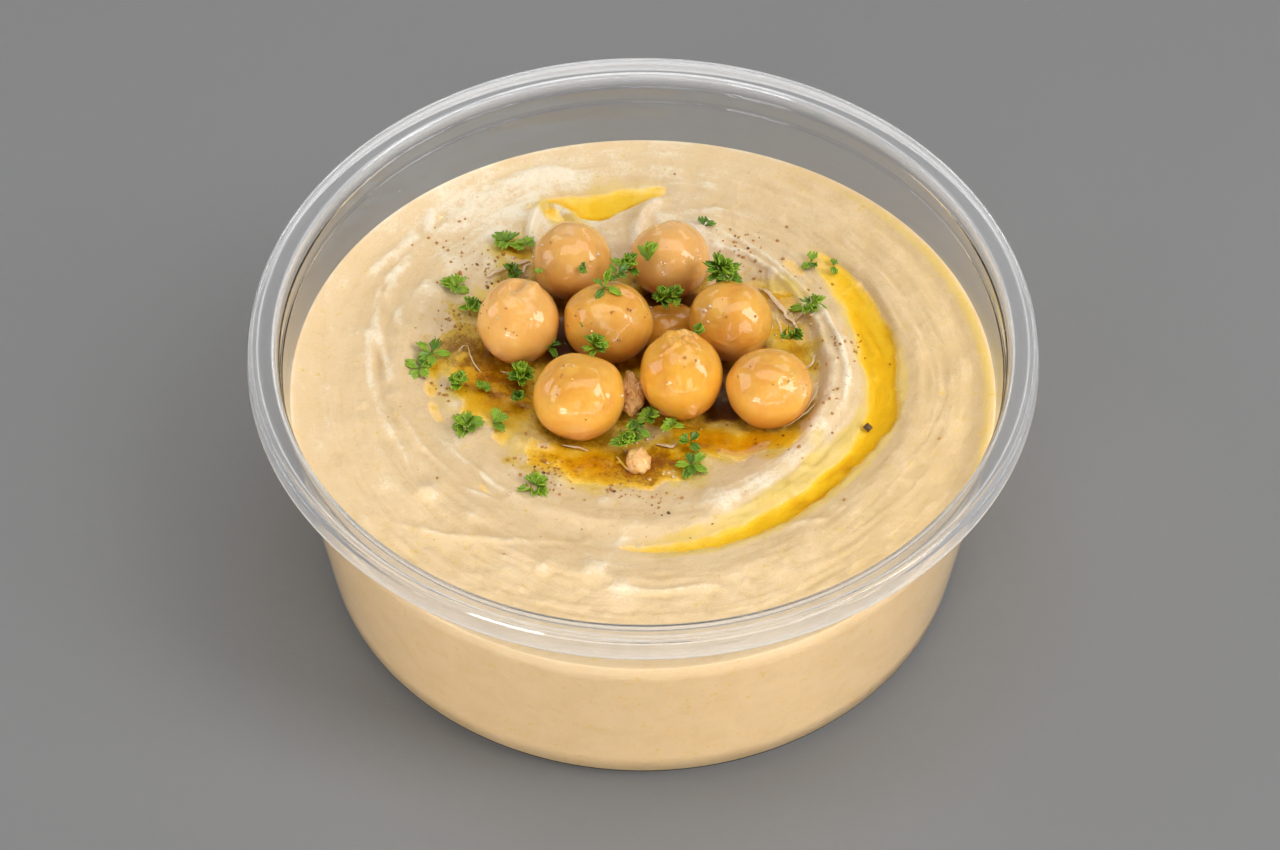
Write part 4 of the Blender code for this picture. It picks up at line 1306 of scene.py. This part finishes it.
def build_chickpeas(look):
    """Make the whole chickpeas, one piece for each."""
    material = chickpea_finish(look)
    wrinkle = look.wrinkle / MM
    for number, (name, place) in enumerate(CHICKPEAS.items()):
        points, faces = lumpy_ball(place, pea_swell, PEA_SIDES, PEA_RINGS, 0.035, wrinkle,
                                   SKIN_FOLDS[name], RUFFLES.get(name, ()), 1.37 * (number + 1))
        pea = add_piece(name.replace("chickpea", "pea"), points, faces, material, "chickpea", name)
        outward = (points - np.array(place[0])) / (np.array(place[1]) / 2)
        pale = np.full(len(points), PALENESS[name])
        for right, up, half_width, amount in PALE_SPOTS.get(name, ()):
            away = np.linalg.norm(outward - np.array(face_direction(right, up)), axis=1)
            pale = pale + amount * bump(away, half_width)
        set_layer(pea, "pale", pale)
        # Painted shade: darker towards the bottom of each chickpea.
        set_layer(pea, "low", smooth(0.5, -0.65, outward[:, 2]))


def build_chickpea_pieces(look):
    """Make the broken pieces of chickpea between the whole ones."""
    material = chickpea_finish(look)
    for number, (name, place) in enumerate(CHICKPEA_PIECES.items()):
        points, faces = lumpy_ball(place, piece_swell, PIECE_SIDES, PIECE_RINGS, 0.1,
                                   0.28 - 0.14 * number, (), (), 4.1 + number)
        piece = add_piece(name.replace("chickpea", "broken"), points, faces, material, "chickpea", name)
        set_layer(piece, "pale", np.full(len(points), 0.95 + 0.2 * number))
        # Each piece takes a fixed share of the same deep colour.
        set_layer(piece, "low", np.full(len(points), 0.28 - 0.26 * number))


# ---------------------------------------------------------------- oil


def film(name, x, y, top, floor, material, skip=None):
    """A closed sheet of oil between its top and the hummus, trimmed to where it stands."""
    rows, columns = x.shape
    low = np.minimum(top, floor) - OIL_SINK
    stands = top - floor > -0.02
    if skip is not None:
        stands &= ~skip
    keep = stands[:-1, :-1] | stands[1:, :-1] | stands[:-1, 1:] | stands[1:, 1:]
    numbers = np.arange(rows * columns).reshape(rows, columns)
    quads = np.stack([numbers[:-1, :-1], numbers[:-1, 1:], numbers[1:, 1:], numbers[1:, :-1]], axis=-1)
    quads = quads[keep]
    used = np.unique(quads)
    place = {int(n): i for i, n in enumerate(used)}
    upper = np.stack([x.ravel(), y.ravel(), top.ravel()], axis=1)[used]
    lower = np.stack([x.ravel(), y.ravel(), low.ravel()], axis=1)[used]
    faces, edges = [], {}
    for quad in quads.tolist():
        corners = [place[n] for n in quad]
        faces.append(tuple(corners))
        faces.append(tuple(i + len(used) for i in reversed(corners)))
        for a, b in zip(corners, corners[1:] + corners[:1]):
            edges[(a, b)] = True
    for a, b in list(edges):
        if (b, a) not in edges:
            faces.append((b, a, a + len(used), b + len(used)))
    return add_piece(name, np.vstack([upper, lower]), faces, material, "oil")


def soften(height, reach, axes=(0, 1)):
    """Average a grid of heights over about reach points each way."""
    kernel = np.hanning(2 * reach + 3)[1:-1]
    kernel /= kernel.sum()
    for axis in axes:
        height = np.apply_along_axis(
            lambda row: np.convolve(np.pad(row, reach, mode="edge"), kernel, mode="valid"),
            axis, height)
    return height


def ribbon(name, table, fill, material, look, reach):
    """Oil lying in a trench; fill is how full it is."""
    turns, deep = [row[0] for row in table], [row[3] for row in table]
    steps = int((turns[-1] - turns[0]) / 0.5)
    direction = np.radians(np.linspace(turns[0], turns[-1], steps))[:, None]
    outside = np.linspace(*reach, int((reach[1] - reach[0]) / 0.25))[None, :]
    direction, outside = np.broadcast_arrays(direction, outside)
    radius = groove_radius(direction) + outside
    x = SWIRL_CENTRE[0] + radius * np.cos(direction)
    y = SWIRL_CENTRE[1] + radius * np.sin(direction)
    floor, _ = dip_height(x, y, look)
    bed = soften(np.min(floor, axis=1)[:, None], 14, (0,))
    level = bed + fill * np.interp(np.degrees(direction[:, :1]), turns, deep) - 0.02
    return film(name, x, y, np.broadcast_to(level, x.shape), floor, material)


def build_oil(look, dip):
    """Pour oil into the groove, the back of the swirl and the hollow."""
    material = oil_finish("oil_finish", tuple(look.tint), RIBBON_DENSITY)
    ribbon("oil_ribbon", GROOVE, look.fill, material, dip, (-6.0, 4.0))
    ribbon("oil_back", BACK_TRENCH, 0.62 * look.fill, material, dip, (-3.0, 7.0))

    x, y = np.meshgrid(np.arange(-36.0, 31.0, OIL_STEP), np.arange(-24.0, 42.0, OIL_STEP))
    floor, _ = dip_height(x, y, dip)
    level = soften(floor, 11)
    depth = np.full(x.shape, DRY)
    drift_x, drift_y = x + 2.0 * waver(x / 4.0, y / 4.0, 1.0), y + 2.0 * waver(x / 4.0, y / 4.0, 7.0)
    for pool_x, pool_y, wide, deep, stands in POOLS:
        depth += stands * bump(np.hypot((drift_x - pool_x) / wide, (drift_y - pool_y) / deep), 1.0)
    floor = press_seats(x, y, floor)
    inside = np.zeros(x.shape, bool)
    climb = np.zeros(x.shape)
    for centre, size, _ in CHICKPEAS.values():
        across = across_pea(x, y, centre, size)
        drop = (centre[2] - OIL_LEVEL) / (size[2] / 2)
        waist = math.sqrt(max(0.05, 1.0 - drop * drop))
        inside |= across < waist - 0.2
        climb = np.maximum(climb, np.exp(-np.maximum(across - waist, 0.0) * 6.0 / 0.8))
    top = level + np.minimum(depth, 0.7) + 0.55 * climb + 0.04 * waver(x / 5.0, y / 5.0, 2.0)
    material = oil_finish("pool_finish", tuple(look.pool), POOL_DENSITY)
    film("oil_hollow", x, y, top, floor, material, inside)


# ---------------------------------------------------------------- herbs and spice


def leaflet(base, heading, rise, span, width, curl, twist, rows=8, columns=13):
    """Points and faces of one cupped leaflet cut into three fingers."""
    flat = Vector((math.cos(heading), math.sin(heading), 0.0))
    side = Vector((-flat.y, flat.x, 0.0))
    points = []
    for row in range(rows):
        t = row / (rows - 1)
        lift = math.sin(rise) * t + curl * t * t
        spine = Vector(base) + flat * (span * t * math.cos(rise)) + Vector((0, 0, span * lift))
        half = width / 2 * (0.16 + 0.95 * smooth(0.0, 0.75, t))
        for column in range(columns):
            v = 2.0 * column / (columns - 1) - 1.0
            finger = abs(math.cos(1.5 * math.pi * v)) ** 0.7
            back = t**1.8 * span * (0.36 * (1.0 - finger) + 0.28 * v * v)
            up = half * (0.45 * v * v + twist * v) + 0.12 * width * t * (finger - 0.5)
            points.append(spine + side * (half * v) - flat * back + Vector((0, 0, up)))
    return points, grid_faces(rows, columns)


def build_parsley(look):
    """Scatter the chopped parsley over the hollow and the chickpeas."""
    draw = random.Random(PARSLEY_SEED)
    bits, ages_and_light = [[], []], []
    for x, y, z, leaflets, span, width, spread, turn, steep in PARSLEY:
        age = draw.uniform(0.1, 0.6)
        upper = leaflets - 3 if leaflets > 6 else 0
        for i in range(leaflets + upper):
            part = (i / (leaflets - 1) - 0.5) if leaflets > 1 else 0.0
            heading = math.radians(turn + spread * part + draw.uniform(-9, 9))
            rise = math.radians(steep * draw.uniform(0.2, 1.5))
            reach = span * look.size * draw.uniform(0.75, 1.1)
            place = Vector((x, y, z + draw.uniform(0.1, 0.35)))
            if i >= leaflets:
                heading += math.pi / leaflets
                rise += math.radians(22)
                reach *= 0.75
                place.z += 0.35
            place += Vector((math.cos(heading), math.sin(heading), 0.0)) * 0.12
            more, quads = leaflet(place, heading, rise, reach,
                                  width * look.size * draw.uniform(1.0, 1.35),
                                  draw.uniform(-0.4, 0.05), draw.uniform(-0.4, 0.4))
            join(bits, more, quads)
            # Tone varies at random; the upper tier is lighter and each leaflet lighter towards its tip, as
            # painted highlight.
            tone = age + draw.uniform(-0.42, 0.42) + (0.15 if i >= leaflets else 0.0)
            ages_and_light += [tone + 0.35 * (k // 13) / 7 for k in range(len(more))]
    piece = add_piece("parsley_bits", *bits, parsley_finish(look), "herb")
    set_layer(piece, "age", ages_and_light)
    leaf = piece.modifiers.new("Leaf", "SOLIDIFY")
    leaf.thickness = look.leaf
    leaf.offset = 0.0


def rest_height(x, y, dip, peas=tuple(CHICKPEAS.values())):
    """Height of whatever lies highest at one place: hummus or chickpea."""
    z = float(dip_height(np.array([x]), np.array([y]), dip)[0][0])
    for centre, size, _ in peas:
        across = math.hypot((x - centre[0]) / (size[0] / 2), (y - centre[1]) / (size[1] / 2))
        if across < 0.98:
            z = max(z, centre[2] + size[2] / 2 * math.sqrt(1.0 - across**2))
    return z


def chip(centre, size, draw):
    """A tiny angular flake: eight-cornered, squashed and turned."""
    corners = []
    for sx, sy, sz in ((-1, -1, -1), (1, -1, -1), (1, 1, -1), (-1, 1, -1),
                       (-1, -1, 1), (1, -1, 1), (1, 1, 1), (-1, 1, 1)):
        corners.append(Vector((sx * draw.uniform(0.5, 1.0), sy * draw.uniform(0.35, 0.9),
                               sz * draw.uniform(0.2, 0.45))) * size / 2)
    turn = Euler((draw.uniform(-0.4, 0.4), draw.uniform(-0.4, 0.4), draw.uniform(0, 6.3))).to_matrix()
    points = [tuple(turn @ c + Vector(centre)) for c in corners]
    faces = [(0, 3, 2, 1), (4, 5, 6, 7), (0, 1, 5, 4), (1, 2, 6, 5), (2, 3, 7, 6), (3, 0, 4, 7)]
    return points, faces


def build_spice(look, dip):
    """Sprinkle red spice flecks and darker specks."""
    draw = random.Random(SPICE_SEED)
    kinds = {"spice_flecks": [[], []], "dark_specks": [[], []]}
    for middle_x, middle_y, spread, count in SPRINKLES:
        for _ in range(count):
            x, y = draw.gauss(middle_x, spread / 2), draw.gauss(middle_y, spread / 2)
            size = look.fleck / MM * draw.uniform(0.3, 1.0) ** 1.5
            kind = kinds["spice_flecks" if draw.random() < RED_SHARE else "dark_specks"]
            if math.hypot(x, y) > SPRINKLE_REACH:
                continue
            join(kind, *chip((x, y, rest_height(x, y, dip) + 0.15 * size), size, draw))
    top = rest_height(*PEPPER_PLACE, dip) + 0.9
    join(kinds["dark_specks"], *chip((*PEPPER_PLACE, top), PEPPER_SIZE, draw))
    red, brown = tuple(look.red), tuple(look.brown)
    add_piece("spice_flecks", *kinds["spice_flecks"],
              fleck_finish("spice_finish", tuple(0.7 * c for c in red), red, 0.4), "spice")
    add_piece("dark_specks", *kinds["dark_specks"],
              fleck_finish("speck_finish", tuple(0.2 * c for c in brown), brown, 0.3), "pepper")


# ---------------------------------------------------------------- skins and crumbs


def strand(path, width, lift, dip, steps=22, sides=10):
    """Points and faces of a flat shred of skin laid along a path."""
    corners = [Vector((x, y, 0.0)) for x, y in path]
    spans = [(b - a).length for a, b in zip(corners, corners[1:])]
    points = []
    for step in range(steps):
        t = step / (steps - 1)
        left, i = t * sum(spans), 0
        while i < len(spans) - 1 and left > spans[i]:
            left -= spans[i]
            i += 1
        spot = corners[i].lerp(corners[i + 1], left / spans[i])
        run = (corners[i + 1] - corners[i]).normalized()
        side = Vector((-run.y, run.x, 0.0))
        spot += side * 0.35 * width * noise.noise((spot.x, spot.y, 3.0))
        spot.z = rest_height(spot.x, spot.y, dip, ()) + lift * math.sin(math.pi * t) + 0.35
        half = 0.8 * width / 2 * (0.12 + 0.88 * math.sin(math.pi * (0.04 + 0.92 * t)) ** 0.6)
        half *= 1.0 + 0.35 * noise.noise((spot.x * 1.3, spot.y * 1.3, 8.0))
        for k in range(sides):
            angle = math.tau * k / sides
            points.append(spot + side * (half * math.cos(angle))
                          + Vector((0, 0, 0.28 * half * math.sin(angle) + 0.1 * half)))
    faces = [face[::-1] for face in grid_faces(steps, sides, True)]
    faces.append(tuple(range(sides)))
    faces.append(tuple(reversed(range((steps - 1) * sides, steps * sides))))
    return [tuple(p) for p in points], faces


def build_bits(look, dip):
    """Lay the shreds of skin, the crumbs and the beads of oil."""
    skins, crumbs, beads = [[], []], [[], []], [[], []]
    for width, lift, path in SKINS:
        join(skins, *strand(path, width, lift, dip))
    add_piece("skin_shreds", *skins, skin_finish(tuple(look.skin)), "skin")

    draw = random.Random(CRUMB_SEED)
    for middle_x, middle_y, spread, count in CRUMBS:
        for _ in range(count):
            x, y = draw.gauss(middle_x, spread / 2), draw.gauss(middle_y, spread / 2)
            size = look.crumb / MM * draw.uniform(0.4, 1.0)
            place = ((x, y, rest_height(x, y, dip) + 0.2 * size),
                     (size, size * draw.uniform(0.6, 1.0), size * draw.uniform(0.5, 0.9)),
                     (0, 0, draw.uniform(0, 360)))
            join(crumbs, *lumpy_ball(place, piece_swell, 12, 8, 0.25, 0.1, (), (), draw.uniform(0, 9)))
    add_piece("crumbs", *crumbs, skin_finish(tuple(look.skin), "crumb_finish"), "skin")
    for _ in range(BEAD_COUNT):
        centre, size, _ = draw.choice(list(CHICKPEAS.values())[:-1])
        turn, out = draw.uniform(0, math.tau), draw.uniform(0.15, 0.98)
        x, y = centre[0] + out * size[0] / 2 * math.cos(turn), centre[1] + out * size[1] / 2 * math.sin(turn)
        wide = look.bead / MM * draw.uniform(0.35, 1.0)
        place = ((x, y, rest_height(x, y, dip)), (wide, wide, 0.6 * wide), (0, 0, 0))
        join(beads, *lumpy_ball(place, lambda rows: np.ones(len(rows)), 14, 10, 0.05, 0.0, (), (), 1.0))
    add_piece("oil_beads", *beads, bead_finish(), "oil")


# ---------------------------------------------------------------- stage


def softbox(name, azimuth, elevation, distance, width, height, power):
    """A large soft lamp that looks at the tub from a direction in degrees."""
    lamp = bpy.data.lights.new(name, "AREA")
    lamp.shape = "RECTANGLE"
    lamp.size, lamp.size_y = width, height
    lamp.energy = power
    holder = bpy.data.objects.new(name, lamp)
    a, e = math.radians(azimuth), math.radians(elevation)
    away = Vector((math.cos(a) * math.cos(e), math.sin(a) * math.cos(e), math.sin(e)))
    holder.location = away * distance + Vector((0, 0, 0.03))
    holder.rotation_euler = away.to_track_quat("Z", "Y").to_euler()
    bpy.context.scene.collection.objects.link(holder)


def build_stage(look):
    """Lay the floor and set the lamps and the camera."""
    scene = bpy.context.scene
    size = FLOOR_HALF
    mesh = bpy.data.meshes.new("floor")
    mesh.from_pydata([(-size, -size, 0), (size, -size, 0), (size, size, 0), (-size, size, 0)],
                     [], [(0, 1, 2, 3)])
    mesh.materials.append(floor_finish(tuple(look.floor)))
    floor = bpy.data.objects.new("floor", mesh)
    scene.collection.objects.link(floor)

    world = bpy.data.worlds.new("studio")
    world.use_nodes = True
    world.node_tree.nodes["Background"].inputs[0].default_value = STUDIO_TONE
    world.node_tree.nodes["Background"].inputs[1].default_value = STUDIO_STRENGTH
    scene.world = world
    for name, settings in LAMPS.items():
        softbox(name, *settings)

    lens = bpy.data.cameras.new("camera")
    lens.lens = look.lens
    lens.sensor_width = 36.0
    lens.clip_start = 0.01
    camera = bpy.data.objects.new("camera", lens)
    roll = CAMERA_ROLL
    up = FACE_UP
    right = FACE_RIGHT * math.cos(roll) + up * math.sin(roll)
    up = up * math.cos(roll) - FACE_RIGHT * math.sin(roll)
    turn = Matrix((right, up, FACE_OUT)).transposed().to_4x4()
    camera.matrix_world = Matrix.Translation(Vector(CAMERA_PLACE) * MM) @ turn
    scene.collection.objects.link(camera)
    scene.camera = camera
    scene.view_settings.view_transform = "Standard"


# ---------------------------------------------------------------- operators


class HUMMUS_OT_tub(bpy.types.Operator):
    """Build the clear tub"""

    bl_idname = "hummus.tub"
    bl_label = "Clear Tub"

    def execute(self, context):
        build_tub(context.scene.hummus_tub)
        return {"FINISHED"}


class HUMMUS_OT_dip(bpy.types.Operator):
    """Fill the tub with swirled hummus"""

    bl_idname = "hummus.dip"
    bl_label = "Hummus"

    def execute(self, context):
        build_hummus(context.scene.hummus_dip)
        return {"FINISHED"}


class HUMMUS_OT_chickpeas(bpy.types.Operator):
    """Set the whole chickpeas in the hollow"""

    bl_idname = "hummus.chickpeas"
    bl_label = "Chickpeas"

    def execute(self, context):
        build_chickpeas(context.scene.hummus_chickpeas)
        return {"FINISHED"}


class HUMMUS_OT_pieces(bpy.types.Operator):
    """Set the broken pieces of chickpea"""

    bl_idname = "hummus.pieces"
    bl_label = "Chickpea Pieces"

    def execute(self, context):
        build_chickpea_pieces(context.scene.hummus_chickpeas)
        return {"FINISHED"}


class HUMMUS_OT_oil(bpy.types.Operator):
    """Pour the oil"""

    bl_idname = "hummus.oil"
    bl_label = "Oil"

    def execute(self, context):
        build_oil(context.scene.hummus_oil, context.scene.hummus_dip)
        return {"FINISHED"}


class HUMMUS_OT_bits(bpy.types.Operator):
    """Lay the shreds of skin, the crumbs and the beads of oil"""

    bl_idname = "hummus.bits"
    bl_label = "Skins and Crumbs"

    def execute(self, context):
        build_bits(context.scene.hummus_bits, context.scene.hummus_dip)
        return {"FINISHED"}


class HUMMUS_OT_parsley(bpy.types.Operator):
    """Scatter the parsley"""

    bl_idname = "hummus.parsley"
    bl_label = "Parsley"

    def execute(self, context):
        build_parsley(context.scene.hummus_herbs)
        return {"FINISHED"}


class HUMMUS_OT_spice(bpy.types.Operator):
    """Sprinkle the spice and the specks"""

    bl_idname = "hummus.spice"
    bl_label = "Spice"

    def execute(self, context):
        build_spice(context.scene.hummus_spice, context.scene.hummus_dip)
        return {"FINISHED"}


class HUMMUS_OT_stage(bpy.types.Operator):
    """Set the floor, the lamps and the camera"""

    bl_idname = "hummus.stage"
    bl_label = "Stage"

    def execute(self, context):
        build_stage(context.scene.hummus_stage)
        return {"FINISHED"}


OPERATORS = (HUMMUS_OT_tub, HUMMUS_OT_dip, HUMMUS_OT_chickpeas, HUMMUS_OT_pieces,
             HUMMUS_OT_oil, HUMMUS_OT_bits, HUMMUS_OT_parsley, HUMMUS_OT_spice, HUMMUS_OT_stage)
SETTINGS = {
    "hummus_tub": TubSettings,
    "hummus_dip": DipSettings,
    "hummus_chickpeas": ChickpeaSettings,
    "hummus_oil": OilSettings,
    "hummus_bits": BitSettings,
    "hummus_herbs": HerbSettings,
    "hummus_spice": SpiceSettings,
    "hummus_stage": StageSettings,
}


class HUMMUS_PT_panel(bpy.types.Panel):
    """The tub's pieces and the sizes and colours they take"""

    bl_idname = "HUMMUS_PT_panel"
    bl_label = "Tub of Hummus"
    bl_space_type = "VIEW_3D"
    bl_region_type = "UI"
    bl_category = "Hummus"

    def draw(self, context):
        for operator in OPERATORS:
            self.layout.operator(operator.bl_idname)
        for name, group in SETTINGS.items():
            box = self.layout.box()
            for field in group.__annotations__:
                box.prop(getattr(context.scene, name), field)


def register():
    """Add the settings, the operators and the panel."""
    for item in (*SETTINGS.values(), *OPERATORS, HUMMUS_PT_panel):
        bpy.utils.register_class(item)
    for name, group in SETTINGS.items():
        setattr(bpy.types.Scene, name, PointerProperty(type=group))


def unregister():
    """Take them out again."""
    for name in SETTINGS:
        delattr(bpy.types.Scene, name)
    for item in reversed((*SETTINGS.values(), *OPERATORS, HUMMUS_PT_panel)):
        bpy.utils.unregister_class(item)


def main():
    """Build every piece in order."""
    register()
    for operator in OPERATORS:
        group, name = operator.bl_idname.split(".")
        getattr(getattr(bpy.ops, group), name)()


if __name__ == "__main__":
    main()
